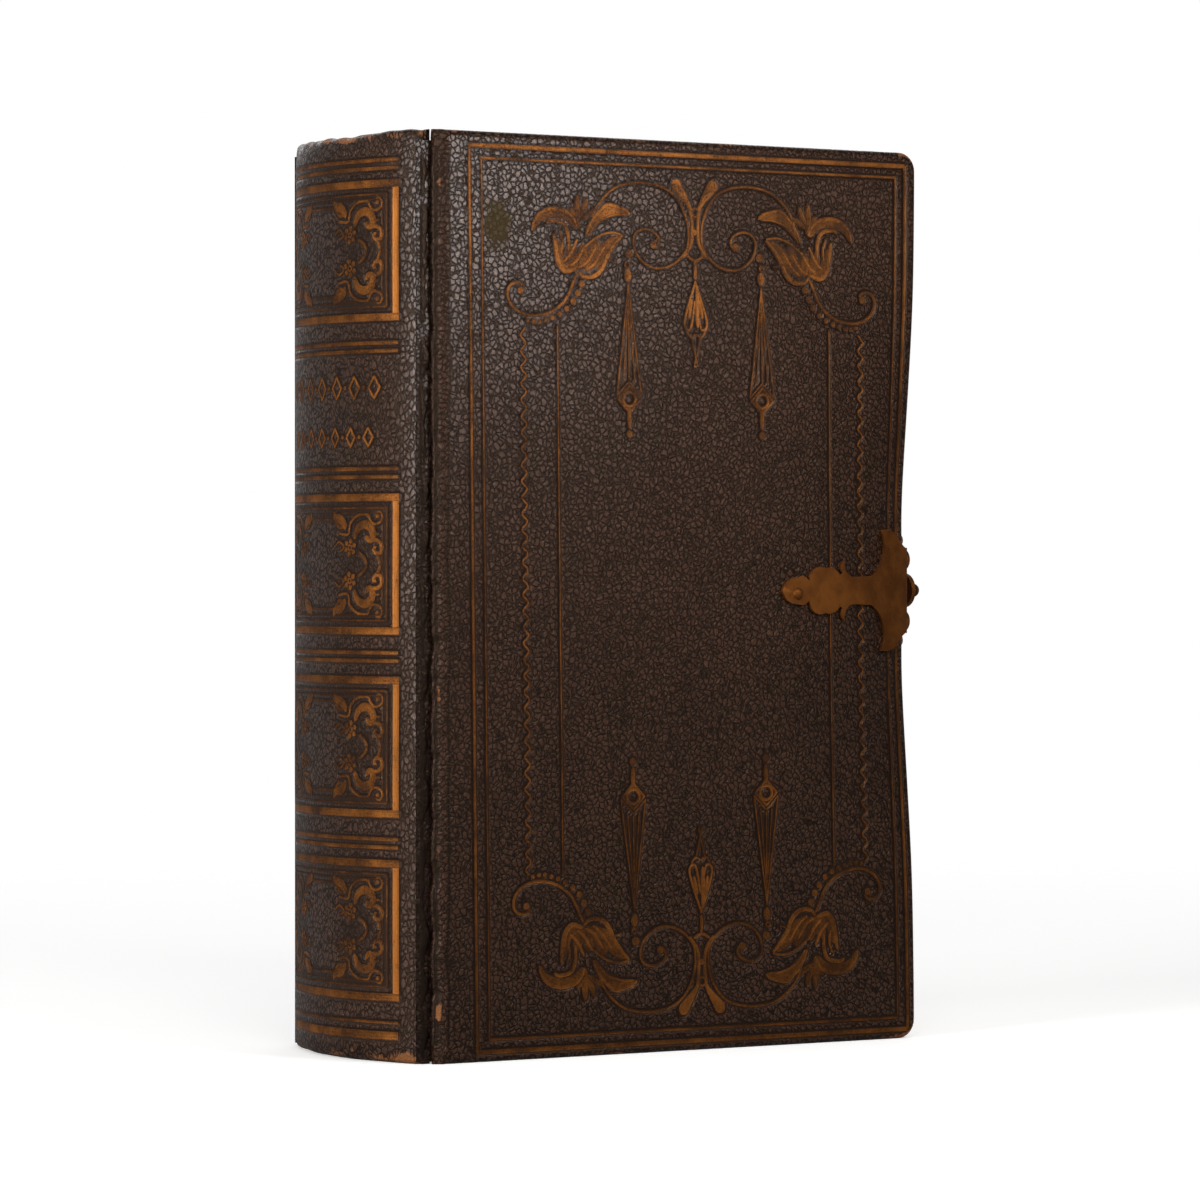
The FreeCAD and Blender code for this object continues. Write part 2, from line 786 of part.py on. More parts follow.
def spine_patch(u0, u1, z0, z1, depth, wall):
    """Piece of a shell round the spine, between two places round it and two heights."""
    turn = math.degrees((u1 - u0) / spine_radius)
    start = u0 / spine_radius
    top = spine_radius - depth
    low = top - wall if wall < top else 0
    corners = []
    for radius, z in ((low, z0), (top, z0), (top, z1), (low, z1)):
        corners.append(Vector(spine_axis_x - radius * math.cos(start),
                              half_thickness - radius * math.sin(start), z))
    face = Part.Face(Part.makePolygon(corners + [corners[0]]))
    axis = Vector(spine_axis_x, half_thickness, 0)
    return face.revolve(axis, Vector(0, 0, 1), turn)


def spine_lines(depth, above):
    """Gilt lines and panel frames of the spine, from a depth out to a height above the leather."""
    wall = depth + above
    lift = -above
    pieces = []
    for top in double_lines:
        for z in (top, top - spine_line_pitch):
            pieces.append(spine_patch(-spine_line_half, spine_line_half,
                                      z - spine_line / 2, z + spine_line / 2, lift, wall))
    for z, width in foot_lines:
        pieces.append(spine_patch(-spine_line_half, spine_line_half,
                                  z - width / 2, z + width / 2, lift, wall))
    for top in panel_tops:
        low = top - panel_height
        frame = spine_patch(-panel_half, panel_half, low, top, lift, wall)
        inside = spine_patch(-panel_half + panel_line, panel_half - panel_line,
                             low + panel_line, top - panel_line, lift - 1, wall + 2)
        pieces.append(frame.cut(inside))
    return Part.Compound(pieces)


def spine_gilding():
    """Gilt at the bottom of the spine's pressed lines."""
    return spine_lines(gilt_press, gilt_thickness - gilt_press)


def flyleaf():
    """First free leaf, lying on the block's side."""
    outline = [
        (shoulder_x + shoulder_length, block_low),
        (block_fore_edge, block_low),
        (block_fore_edge, block_high),
        (shoulder_x + shoulder_length, block_high),
    ]
    return layer(flyleaf_depth, flyleaf_depth + flyleaf_thickness, outline)


def pieces():
    """Every piece by the name of its node, in the working frame."""
    hole = rivet_hole()
    front_leather = drilled(cover_leather(), hole)
    front_board = board()
    front_paper = pastedown()
    front_border = gilt_border()
    front_rivet = clasp_rivet()
    front_leaf = flyleaf()
    return {
        "text_block": text_block(),
        "front_flyleaf": front_leaf,
        "back_flyleaf": to_back(front_leaf),
        "sewing_cords": sewing_cords(),
        "spine_lining": spine_lining(),
        "head_band": end_band(block_high + band_diameter / 2),
        "tail_band": end_band(block_low - band_diameter / 2),
        "spine_inlay": spine_inlay(),
        "spine_leather": spine_leather(),
        "spine_gilding": spine_gilding(),
        "front_board": front_board,
        "front_cover_leather": front_leather,
        "front_pastedown": front_paper,
        "front_gilding": front_border,
        "front_clasp_plate": drilled(clasp_plate_solid(), hole),
        "front_clasp_rivet": front_rivet,
        "back_board": to_back(front_board),
        "back_cover_leather": to_back(front_leather),
        "back_pastedown": to_back(front_paper),
        "back_gilding": to_back(front_border),
        "back_clasp_plate": back_clasp_plate(),
        "back_clasp_rivet": to_back(front_rivet),
        "hasp_pin": hasp_pin(),
        "hasp": hasp(),
        "hasp_knob": hasp_knob(),
    }


def write(name, shape):
    """Moves a piece to the part's own frame and writes it as one STEP file."""
    placed = shape.copy()
    placed.translate(to_part_frame)
    solids = placed.Solids
    whole = solids[0] if len(solids) == 1 else Part.Compound(solids)
    whole.exportStep("parts/" + name + ".step")
    print(name, len(solids), whole.isValid(), round(whole.Volume, 2))


os.makedirs("parts", exist_ok=True)
for node, solid in pieces().items():
    write(node, solid)
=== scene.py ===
"""Looks of a small leather-bound book with gilt tooling and a brass clasp.

Every shape is worked out in millimetres in a working frame: x runs from the front joint line to
the fore-edge, y from the outer plane of the front cover into the book, and z up from the foot.
A mesh is moved to the part's own frame, in metres, as it is made.
"""

import logging
import math
from dataclasses import dataclass, field, replace
from enum import Enum
from typing import Callable, Sequence

import bmesh
import bpy
import numpy as np
from mathutils import Matrix, Vector

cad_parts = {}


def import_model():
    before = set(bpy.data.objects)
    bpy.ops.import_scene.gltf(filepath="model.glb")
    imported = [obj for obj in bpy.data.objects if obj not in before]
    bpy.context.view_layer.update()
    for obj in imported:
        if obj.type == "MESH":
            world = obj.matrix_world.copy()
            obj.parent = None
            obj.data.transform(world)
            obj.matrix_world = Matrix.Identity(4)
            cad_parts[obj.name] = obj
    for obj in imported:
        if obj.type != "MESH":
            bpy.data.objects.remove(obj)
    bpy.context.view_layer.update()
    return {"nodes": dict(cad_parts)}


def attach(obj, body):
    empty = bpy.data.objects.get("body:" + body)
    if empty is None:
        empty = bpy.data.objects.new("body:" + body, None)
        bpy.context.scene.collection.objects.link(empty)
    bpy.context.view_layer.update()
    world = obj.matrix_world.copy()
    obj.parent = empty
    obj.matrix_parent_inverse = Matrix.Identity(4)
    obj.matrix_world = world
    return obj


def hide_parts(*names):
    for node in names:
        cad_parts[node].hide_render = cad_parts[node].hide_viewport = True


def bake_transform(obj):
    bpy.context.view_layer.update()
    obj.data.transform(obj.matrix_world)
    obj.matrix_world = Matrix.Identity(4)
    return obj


Array = np.ndarray
Colour = tuple[float, float, float]
Points = Sequence[tuple[float, float]]

log = logging.getLogger("book")


class Side(Enum):
    """Which cover a piece belongs to."""

    FRONT = "front"
    BACK = "back"


def smooth(low: float, high: float, value: Array) -> Array:
    """Smooth step from 0 at low to 1 at high: t squared times (3 - 2 t)."""
    share = np.clip((value - low) / (high - low), 0.0, 1.0)
    return share * share * (3 - 2 * share)


def spread(low: float, high: float, step: float) -> Array:
    """Evenly spaced values from low to high, at most a step apart."""
    return np.linspace(low, high, max(2, int(math.ceil((high - low) / step)) + 1))


def stitched(*runs: Array) -> Array:
    """Runs of values end to end, with the values that meet kept once."""
    joined = [runs[0]] + [run[1:] for run in runs[1:]]
    return np.concatenate(joined)


def ripple(a: Array, b: Array, size: float, seed: int, waves: int = 7) -> Array:
    """Gentle unevenness between about -1 and 1: a sum of sine waves in seeded directions.

    Args:
        a: First coordinate in millimetres.
        b: Second coordinate in millimetres.
        size: Typical distance between crests in millimetres.
        seed: Number that fixes the directions and phases.
        waves: How many waves are added.

    Returns:
        The sum of sin(k . p + phase) over the waves, divided by the square root of their number.
    """
    rng = np.random.default_rng(seed)
    total = np.zeros(np.broadcast(a, b).shape)
    for _ in range(waves):
        turn, phase = rng.uniform(0, 2 * math.pi, 2)
        rate = 2 * math.pi / (size * rng.uniform(0.7, 1.5))
        total = total + np.sin(rate * (a * math.cos(turn) + b * math.sin(turn)) + phase)
    return total / math.sqrt(waves)


@dataclass(frozen=True)
class Book:
    """Sizes of the book in millimetres, as the CAD model has them."""

    height: float = 120.0
    cover_width: float = 75.3
    thickness: float = 36.4
    spine_bulge: float = 6.4
    cover_thickness: float = 3.0
    corner_radius: float = 2.5
    outer_edge: float = 0.8
    inner_edge: float = 0.45
    turn_in: float = 6.0
    joint_crack: float = 0.3
    joint_board_edge: float = 1.5
    joint_shoulder: float = 2.6
    joint_depth: float = 0.95
    joint_leather: float = 0.65
    bow_depth: float = 3.0
    bow_start: float = 35.0
    bow_low: float = 52.0
    bow_high: float = 69.4
    bow_margin: float = 2.0
    shift_x: float = -36.2

    @property
    def spine_radius(self) -> float:
        """Radius of the spine's outer surface."""
        half = self.thickness / 2
        return (half ** 2 + self.spine_bulge ** 2) / (2 * self.spine_bulge)

    @property
    def spine_axis(self) -> float:
        """Place of the spine's axis along x."""
        return self.spine_radius - self.spine_bulge

    @property
    def spine_half(self) -> float:
        """Distance round the spine from its middle to its edge at the joint."""
        lean = math.acos((self.spine_axis + self.joint_crack / 2) / self.spine_radius)
        return self.spine_radius * lean

    def metres(self, points: Array) -> Array:
        """Points of the working frame in the part's frame, in metres."""
        return (points + np.array([self.shift_x, -self.thickness / 2, 0.0])) * 0.001

    def bow(self, x: Array, z: Array) -> Array:
        """How far a cover is drawn inwards by the clasp.

        The depth is bow_depth times the fifth power of the share of the way from bow_start to
        the fore-edge, times a fade along z that is a Bezier curve of degree 5 with the values
        1, 1, 0.1, 0.05, 0 and 0.

        Args:
            x: Distances from the front joint line.
            z: Heights.

        Returns:
            Depths in millimetres.
        """
        along = np.clip((x - self.bow_start) / (self.cover_width - self.bow_start), 0, None)
        below = (self.bow_low - z) / (self.bow_low + self.bow_margin)
        above = (z - self.bow_high) / (self.height + self.bow_margin - self.bow_high)
        s = np.clip(np.maximum(below, above), 0, 1)
        fade = (1 - s) ** 5 + 5 * s * (1 - s) ** 4
        fade = fade + s ** 2 * (1 - s) ** 3 + 0.5 * s ** 3 * (1 - s) ** 2
        return self.bow_depth * along ** 5 * fade

    def flap(self, x: Array) -> Array:
        """Depth of the leather worked down into the joint: a cubic Bezier curve from the shoulder.

        Args:
            x: Distances from the joint line.

        Returns:
            Depths in millimetres, zero past the shoulder.
        """
        t = np.linspace(1, 0, 80)
        shoulder = self.joint_shoulder
        xs = (1 - t) ** 3 * shoulder + 3 * t * (1 - t) ** 2 * shoulder * 0.45
        xs = xs + 3 * t ** 2 * (1 - t) * shoulder * 0.3 + t ** 3 * self.joint_crack / 2
        ys = 3 * t ** 2 * (1 - t) * self.joint_depth * 0.75 + t ** 3 * self.joint_depth
        return np.interp(x, xs, ys)


class Patchwork:
    """Gathers grids of points into one mesh and joins the points that coincide."""

    def __init__(self, book: Book) -> None:
        """Starts with no grid."""
        self.book = book
        self.points: list[Array] = []
        self.faces: list[Array] = []
        self.values: dict[str, list[Array]] = {}
        self.count = 0

    def grid(self, points: Array, flip: bool = False, ring: bool = False,
             keep: Array | None = None, **values: Array | float) -> None:
        """Adds a grid of quads.

        Args:
            points: Array of rows, columns and x, y, z in millimetres.
            flip: Turns the faces over.
            ring: Joins the last column to the first.
            keep: Which cells are kept, as an array of rows - 1 and columns - 1.
            values: Named values at the points, kept as attributes.
        """
        rows, cols = points.shape[:2]
        index = np.arange(rows * cols).reshape(rows, cols) + self.count
        if ring:
            index = np.concatenate([index, index[:, :1]], axis=1)
        quads = np.stack([index[:-1, :-1], index[:-1, 1:], index[1:, 1:], index[1:, :-1]], axis=-1)
        quads = quads[keep] if keep is not None else quads.reshape(-1, 4)
        self.faces.append(quads[:, ::-1] if flip else quads)
        self.points.append(points.reshape(-1, 3))
        for name in set(self.values) | set(values):
            made = self.values.setdefault(name, [np.zeros(self.count)] if self.count else [])
            value = values.get(name, 0.0)
            made.append(np.broadcast_to(value, (rows, cols)).reshape(-1).astype(float))
        self.count += rows * cols

    def build(self, name: str, material: bpy.types.Material, crease: float = 180.0,
              mirrored: bool = False) -> bpy.types.Object:
        """Makes the mesh and its object.

        Args:
            name: Name of the object.
            material: Its finish.
            crease: Angle in degrees past which an edge is sharp.
            mirrored: Mirrors the piece about the book's middle plane, for the back cover.

        Returns:
            The new object, linked to the scene.
        """
        points = np.concatenate(self.points)
        faces = np.concatenate(self.faces)
        _, first, inverse = np.unique(np.round(points * 2000).astype(np.int64), axis=0,
                                      return_index=True, return_inverse=True)
        faces = inverse.reshape(-1)[faces]
        points = points[first]
        if mirrored:
            points = points * np.array([1.0, -1.0, 1.0]) + np.array([0, self.book.thickness, 0])
            faces = faces[:, ::-1]
        kept = faces != np.roll(faces, 1, axis=1)
        whole = kept.sum(axis=1) >= 3
        faces, kept = faces[whole], kept[whole]
        loops = faces[kept]
        sides = kept.sum(axis=1)
        mesh = bpy.data.meshes.new(name)
        mesh.vertices.add(len(points))
        mesh.vertices.foreach_set("co", self.book.metres(points).astype(np.float32).ravel())
        mesh.loops.add(len(loops))
        mesh.loops.foreach_set("vertex_index", loops.astype(np.int32))
        mesh.polygons.add(len(faces))
        mesh.polygons.foreach_set("loop_start", (np.cumsum(sides) - sides).astype(np.int32))
        mesh.polygons.foreach_set("use_smooth", np.ones(len(faces), bool))
        mesh.update(calc_edges=True)
        mesh.validate()
        for key, made in self.values.items():
            attribute = mesh.attributes.new(key, "FLOAT", "POINT")
            attribute.data.foreach_set("value", np.concatenate(made)[first].astype(np.float32))
        if crease < 180:
            mesh.set_sharp_from_angle(angle=math.radians(crease))
        mesh.materials.append(material)
        piece = bpy.data.objects.new(name, mesh)
        bpy.context.scene.collection.objects.link(piece)
        return piece


class Socket:
    """A node's output that takes Python's arithmetic, each step as a Math node."""

    def __init__(self, finish: "Nodes", out: bpy.types.NodeSocket) -> None:
        """Keeps the node tree and the output."""
        self.finish = finish
        self.out = out

    def math(self, operation: str, first: "Socket | float", second: "Socket | float") -> "Socket":
        """One Math node."""
        return self.finish.node("ShaderNodeMath", {"operation": operation}, {0: first, 1: second})

    def __add__(self, other: "Socket | float") -> "Socket":
        """Sum."""
        return self.math("ADD", self, other)

    __radd__ = __add__

    def __sub__(self, other: "Socket | float") -> "Socket":
        """Difference."""
        return self.math("SUBTRACT", self, other)

    def __rsub__(self, other: "Socket | float") -> "Socket":
        """Difference from a number."""
        return self.math("SUBTRACT", other, self)

    def __mul__(self, other: "Socket | float") -> "Socket":
        """Product."""
        return self.math("MULTIPLY", self, other)

    __rmul__ = __mul__

    def most(self, other: "Socket | float") -> "Socket":
        """The larger of two values."""
        return self.math("MAXIMUM", self, other)

    def least(self, other: "Socket | float") -> "Socket":
        """The smaller of two values."""
        return self.math("MINIMUM", self, other)

    def step(self, low: float, high: float, start: float = 0.0, end: float = 1.0) -> "Socket":
        """Smooth step from start at low to end at high.

        Args:
            low: Value where the step begins.
            high: Value where it ends.
            start: Result at low.
            end: Result at high.

        Returns:
            The stepped value.
        """
        settings = {"interpolation_type": "SMOOTHSTEP"}
        sockets = {"Value": self, "From Min": low, "From Max": high, "To Min": start, "To Max": end}
        return self.finish.node("ShaderNodeMapRange", settings, sockets)


class Nodes:
    """Node tree of one material or world, built from expressions."""

    def __init__(self, owner: bpy.types.Material | bpy.types.World) -> None:
        """Starts the owner's tree afresh."""
        self.owner = owner
        owner.use_nodes = True
        self.tree = owner.node_tree
        self.tree.nodes.clear()

    def node(self, kind: str, settings: dict | None = None, sockets: dict | None = None,
             out: int | str = 0) -> Socket:
        """Adds a node.

        Args:
            kind: Type of the node.
            settings: Its properties, set first; stops gives the places and colours of a ramp.
            sockets: Values or links of its inputs, by name or number.
            out: Which output is wanted.

        Returns:
            That output.
        """
        made = self.tree.nodes.new(kind)
        for key, value in (settings or {}).items():
            if key == "stops":
                for place, (position, colour) in enumerate(value):
                    ramp = made.color_ramp.elements
                    stop = ramp[place] if place < 2 else ramp.new(position)
                    stop.position = position
                    stop.color = (*colour, 1.0)
            else:
                setattr(made, key, value)
        for key, value in (sockets or {}).items():
            if isinstance(value, Socket):
                self.tree.links.new(value.out, made.inputs[key])
            elif isinstance(value, tuple) and made.inputs[key].type == "RGBA":
                made.inputs[key].default_value = (*value, 1.0)
            else:
                made.inputs[key].default_value = value
        return Socket(self, made.outputs[out])

    def place(self, scale: Sequence[float] = (1, 1, 1), turn: Sequence[float] = (0, 0, 0)) -> Socket:
        """Object coordinates in metres, stretched and turned."""
        where = self.node("ShaderNodeTexCoord", out="Object")
        return self.node("ShaderNodeMapping", {}, {"Vector": where, "Scale": tuple(scale),
                                                   "Rotation": tuple(turn)})

    def noise(self, where: Socket, scale: float, detail: float = 3.0, rough: float = 0.5) -> Socket:
        """Noise between 0 and 1."""
        return self.node("ShaderNodeTexNoise", {}, {"Vector": where, "Scale": scale,
                                                    "Detail": detail, "Roughness": rough})

    def warped(self, where: Socket, scale: float, amount: float) -> Socket:
        """Coordinates pushed about by a noise of a scale, by an amount in metres.

        Args:
            where: Coordinates.
            scale: Scale of the noise.
            amount: Size of the push in metres.

        Returns:
            The pushed coordinates.
        """
        push = self.node("ShaderNodeTexNoise", {}, {"Vector": where, "Scale": scale}, out="Color")
        centred = self.node("ShaderNodeVectorMath", {"operation": "SUBTRACT"},
                            {0: push, 1: (0.5, 0.5, 0.5)})
        scaled = self.node("ShaderNodeVectorMath", {"operation": "SCALE"},
                           {0: centred, "Scale": amount})
        return self.node("ShaderNodeVectorMath", {"operation": "ADD"}, {0: where, 1: scaled})

    def cells(self, where: Socket, scale: float) -> Socket:
        """Distance to the border of a cell of a Voronoi pattern."""
        return self.node("ShaderNodeTexVoronoi", {"feature": "DISTANCE_TO_EDGE"},
                         {"Vector": where, "Scale": scale}, out="Distance")

    def attribute(self, name: str) -> Socket:
        """Value of a mesh attribute."""
        return self.node("ShaderNodeAttribute", {"attribute_name": name}, out="Fac")

    def mix(self, share: Socket | float, first: Socket | Colour,
            second: Socket | Colour) -> Socket:
        """Mix of two colours."""
        settings = {"data_type": "RGBA", "clamp_factor": True}
        return self.node("ShaderNodeMix", settings, {0: share, 6: first, 7: second}, out=2)

    def bump(self, height: Socket, distance: float, strength: float = 1.0,
             under: Socket | None = None) -> Socket:
        """Normal of a bump whose height of 1 is a distance in metres.

        Args:
            height: Height between 0 and 1.
            distance: What a height of 1 is, in metres.
            strength: Share of the effect.
            under: Normal that the bump is laid on.

        Returns:
            The bumped normal.
        """
        sockets = {"Height": height, "Distance": distance, "Strength": strength}
        if under is not None:
            sockets["Normal"] = under
        return self.node("ShaderNodeBump", {}, sockets)

    def surface(self, **sockets: Socket | float | Colour) -> bpy.types.Material:
        """Ends the tree in a Principled shader; an input's name is written with underscores.

        Args:
            sockets: Values or links of the shader's inputs.

        Returns:
            The finished material.
        """
        named = {key.replace("_", " "): value for key, value in sockets.items()}
        self.show(self.node("ShaderNodeBsdfPrincipled", {}, named))
        return self.owner

    def show(self, shader: Socket) -> None:
        """Links a shader to the output of the material or world."""
        world = isinstance(self.owner, bpy.types.World)
        end = self.tree.nodes.new("ShaderNodeOutputWorld" if world else "ShaderNodeOutputMaterial")
        self.tree.links.new(shader.out, end.inputs["Surface"])


@dataclass(frozen=True)
class Morocco:
    """Dark brown goat leather with a raised pebble grain, painted shade in its creases, rubbed at
    edges.
    """

    brown: Colour = (0.033, 0.0138, 0.0076)
    warm: Colour = (0.046, 0.019, 0.0102)
    # Painted shade in the creases between the pebbles.
    crease: Colour = (0.003, 0.0013, 0.0009)
    # Near-black painted shade, with some dirt, in the joints' valleys and creases.
    shade_black: Colour = (0.0022, 0.001, 0.0007)
    olive: Colour = (0.034, 0.023, 0.006)
    # Dark brown painted shade: in the dents beside tooled lines, and with some dirt in the joints.
    pressed: Colour = (0.0075, 0.0033, 0.002)
    rubbed: Colour = (0.22, 0.085, 0.03)
    shine: Colour = (1.0, 0.66, 0.48)
    pebble: float = 0.00072
    grain_depth: float = 0.0001
    press_depth: float = 0.00012
    specular: float = 0.34
    polish: float = 0.35
    polish_rough: float = 0.3
    rough: float = 0.29
    stretch: tuple[float, float, float] = (1.0, 1.0, 1.0)
    wide_bend: tuple[float, float] = (500.0, 0.0008)
    fine_bend: tuple[float, float] = (2200.0, 0.00028)
    fine_ratio: float = 2.3
    pore_scale: float = 3000.0
    pore_share: float = 0.22
    blotch_scale: float = 60.0
    patch_scale: float = 420.0

    def material(self, name: str) -> bpy.types.Material:
        """Builds the material.

        The pebbles are the cells of two Voronoi patterns with warped coordinates, whose borders
        are creases, darkened with painted shade. The attribute press is the distance to the nearest
        tooled line in millimetres, and the leather beside a line is darkened as painted shade of its
        dent. Wear is how much an edge has been rubbed; grime darkens and dulls the leather
        with painted shade and some dirt in the joints and creases, and stain darkens and dulls it.
        The coat lies on the pebbles' flat tops alone, as on polished goatskin, and leaves the creases
        matt.

        Args:
            name: Name of the material.

        Returns:
            The material.
        """
        nodes = Nodes(bpy.data.materials.new(name))
        where = nodes.place(self.stretch)
        bent = nodes.warped(nodes.warped(where, *self.wide_bend), *self.fine_bend)
        pores = nodes.noise(where, self.pore_scale, 3.0, 0.6)
        coarse = nodes.cells(bent, 1 / self.pebble) + (pores - 0.5) * self.pore_share
        fine = nodes.cells(bent, self.fine_ratio / self.pebble)
        blotch = nodes.noise(where, self.blotch_scale, 4.0, 0.6)
        patch = nodes.noise(where, self.patch_scale, 3.0, 0.6)
        press = nodes.attribute("press")
        wear = nodes.attribute("wear")
        grime = nodes.attribute("grime")
        stain = nodes.attribute("stain")
        tooled = press.step(0.08, 0.4, 1.0, 0.0)
        plateau = coarse.step(0.0, 0.26) * 0.85 + fine.step(0.0, 0.2) * 0.15
        # Mask of the creases between the pebbles: it paints shade into them and roughens them.
        crack = coarse.step(0.02, 0.26, 1.0, 0.0)
        grain = (plateau + pores * 0.2) * (1 - (0.85 * tooled).most(grime * 0.7))
        brown = nodes.mix(blotch.step(0.3, 0.7), self.brown, self.warm)
        # Painted shade in the pebbles' creases.
        brown = nodes.mix(crack * (1 - tooled) * 0.95, brown, self.crease)
        # Painted shade beside tooled lines and, with some dirt, in the joints and creases; near black
        # where grime is strongest.
        dark = (tooled * 0.85).most(grime)
        brown = nodes.mix(dark, brown, self.pressed)
        brown = nodes.mix(grime.step(0.6, 0.9), brown, self.shade_black)
        brown = nodes.mix(stain, brown, self.olive)
        rub = (wear + (patch - 0.5) * 0.9 + (plateau - 0.5) * 0.2).step(0.45, 0.8)
        colour = nodes.mix(rub, brown, self.rubbed)
        rough = self.rough + blotch * 0.08 + crack * 0.1 + rub * 0.3 + grime * 0.1 + stain * 0.3
        dent = nodes.bump(press.step(-0.05, 0.4), self.press_depth)
        normal = nodes.bump(grain, self.grain_depth, 1.0, dent)
        polish = coarse.step(0.04, 0.22) * self.polish * (1 - grime.most(stain).most(tooled * 0.6))
        return nodes.surface(Base_Color=colour, Roughness=rough, Normal=normal,
                             Coat_Weight=polish, Coat_Roughness=self.polish_rough,
                             Specular_Tint=self.shine, Specular_IOR_Level=self.specular)


@dataclass(frozen=True)
class Gilt:
    """Gold leaf pressed into leather, dulled and partly worn away."""

    gold: Colour = (0.28, 0.098, 0.02)
    dull: Colour = (0.072, 0.027, 0.0085)
    # Colour of bare leather; also laid on the outer edges of each line as painted shade of the dent's
    # walls.
    bare: Colour = (0.020, 0.0085, 0.005)
    loss: float = 0.75
    metal: float = 0.75
    rough: float = 0.46
    fleck_scale: float = 4200.0
    cloud_scale: float = 260.0
    edge_depth: float = 0.00008

    def material(self, name: str) -> bpy.types.Material:
        """Builds the material; bright is an attribute for how much gold is left on a line.

        Args:
            name: Name of the material.

        Returns:
            The material.
        """
        nodes = Nodes(bpy.data.materials.new(name))
        where = nodes.place()
        fleck = nodes.noise(where, self.fleck_scale, 3.0, 0.7)
        cloud = nodes.noise(where, self.cloud_scale, 3.0, 0.6)
        bright = nodes.attribute("bright")
        across = nodes.attribute("across")
        level = (bright + (cloud - 0.5) * 1.3 + (fleck - 0.5) * 0.9).step(0.28, 1.1)
        gone = (bright * 0.6 + (fleck - 0.5) * 1.6 + (cloud - 0.5) * 1.2).step(-0.1, 0.25, 1.0, 0.0)
        colour = nodes.mix(level, self.dull, self.gold)
        pits = fleck.step(0.30, 0.44, 0.6, 0.0)
        # Worn gold, and the outer edges of each line turned towards bare leather as painted shade of
        # the dent's walls.
        lost_and_edge_shade = (gone * self.loss + across.step(0.7, 1.0) * 0.6 + pits).least(1.0)
        colour = nodes.mix(lost_and_edge_shade, colour, self.bare)
        metal = self.metal * (1 - lost_and_edge_shade)
        rough = self.rough + lost_and_edge_shade * 0.15 + fleck * 0.1
        height = across.step(0.3, 1.0) * 0.6 + fleck * 0.25
        normal = nodes.bump(height, self.edge_depth)
        return nodes.surface(Base_Color=colour, Roughness=rough, Metallic=metal, Normal=normal,
                             Specular_IOR_Level=0.15)


@dataclass(frozen=True)
class Brass:
    """Old brass, matt brown with brighter worn edges and fine scratches."""

    worn: Colour = (0.21, 0.071, 0.013)
    brown: Colour = (0.13, 0.042, 0.0085)
    dark: Colour = (0.035, 0.013, 0.005)
    metal: float = 0.8
    rough: float = 0.42
    cloud_scale: float = 300.0
    spot_scale: float = 1500.0
    scratches: tuple[float, float, float] = (600.0, 9000.0, 2600.0)
    scratch_turn: tuple[float, float, float] = (0.3, 0.5, 0.2)
    dent: float = 0.00004

    def material(self, name: str) -> bpy.types.Material:
        """Builds the material.

        Args:
            name: Name of the material.

        Returns:
            The material.
        """
        nodes = Nodes(bpy.data.materials.new(name))
        where = nodes.place()
        cloud = nodes.noise(where, self.cloud_scale, 4.0, 0.6)
        spots = nodes.noise(where, self.spot_scale, 3.0, 0.7)
        scratch = nodes.noise(nodes.place(self.scratches, self.scratch_turn), 1.0, 2.0)
        colour = nodes.mix(cloud.step(0.35, 0.7), self.brown, self.worn)
        colour = nodes.mix(spots.step(0.56, 0.78) * 0.55, colour, self.dark)
        rough = self.rough + cloud * 0.15 + spots * 0.15
        normal = nodes.bump(scratch * 0.4 + spots * 0.6, self.dent, 0.8)
        return nodes.surface(Base_Color=colour, Roughness=rough, Metallic=self.metal,
                             Normal=normal, Specular_IOR_Level=0.25)


@dataclass(frozen=True)
class Paper:
    """Aged paper, seen flat or as the edges of many leaves."""

    pale: Colour = (0.70, 0.58, 0.40)
    brown: Colour = (0.42, 0.29, 0.16)
    shadow: Colour = (0.16, 0.095, 0.045)
    leaves: bool = False
    cloud_scale: float = 70.0
    foxing_scale: float = 420.0
    tooth_scale: float = 3000.0
    tooth_depth: float = 0.00003
    leaf_stretch: tuple[float, float, float] = (60.0, 9000.0, 60.0)
    band_stretch: tuple[float, float, float] = (25.0, 1500.0, 25.0)
    leaf_depth: float = 0.00012

    def material(self, name: str) -> bpy.types.Material:
        """Builds the material; the edges of leaves are noise stretched along them.

        Args:
            name: Name of the material.

        Returns:
            The material.
        """
        nodes = Nodes(bpy.data.materials.new(name))
        where = nodes.place()
        cloud = nodes.noise(where, self.cloud_scale, 4.0, 0.6)
        foxing = nodes.noise(where, self.foxing_scale, 3.0, 0.7)
        colour = nodes.mix(cloud.step(0.4, 0.95), self.pale, self.brown)
        colour = nodes.mix(foxing.step(0.62, 0.8) * 0.5, colour, self.brown)
        height, depth = nodes.noise(where, self.tooth_scale, 3.0), self.tooth_depth
        if self.leaves:
            lines = nodes.noise(nodes.place(self.leaf_stretch), 1.0, 3.0, 0.7)
            bands = nodes.noise(nodes.place(self.band_stretch), 1.0, 3.0, 0.6)
            colour = nodes.mix(lines.step(0.35, 0.6, 0.75, 0.0), colour, self.shadow)
            colour = nodes.mix(bands.step(0.5, 0.75) * 0.5, colour, self.brown)
            height, depth = lines, self.leaf_depth
        normal = nodes.bump(height, depth)
        return nodes.surface(Base_Color=colour, Roughness=0.85, Normal=normal, Specular_IOR_Level=0.2)


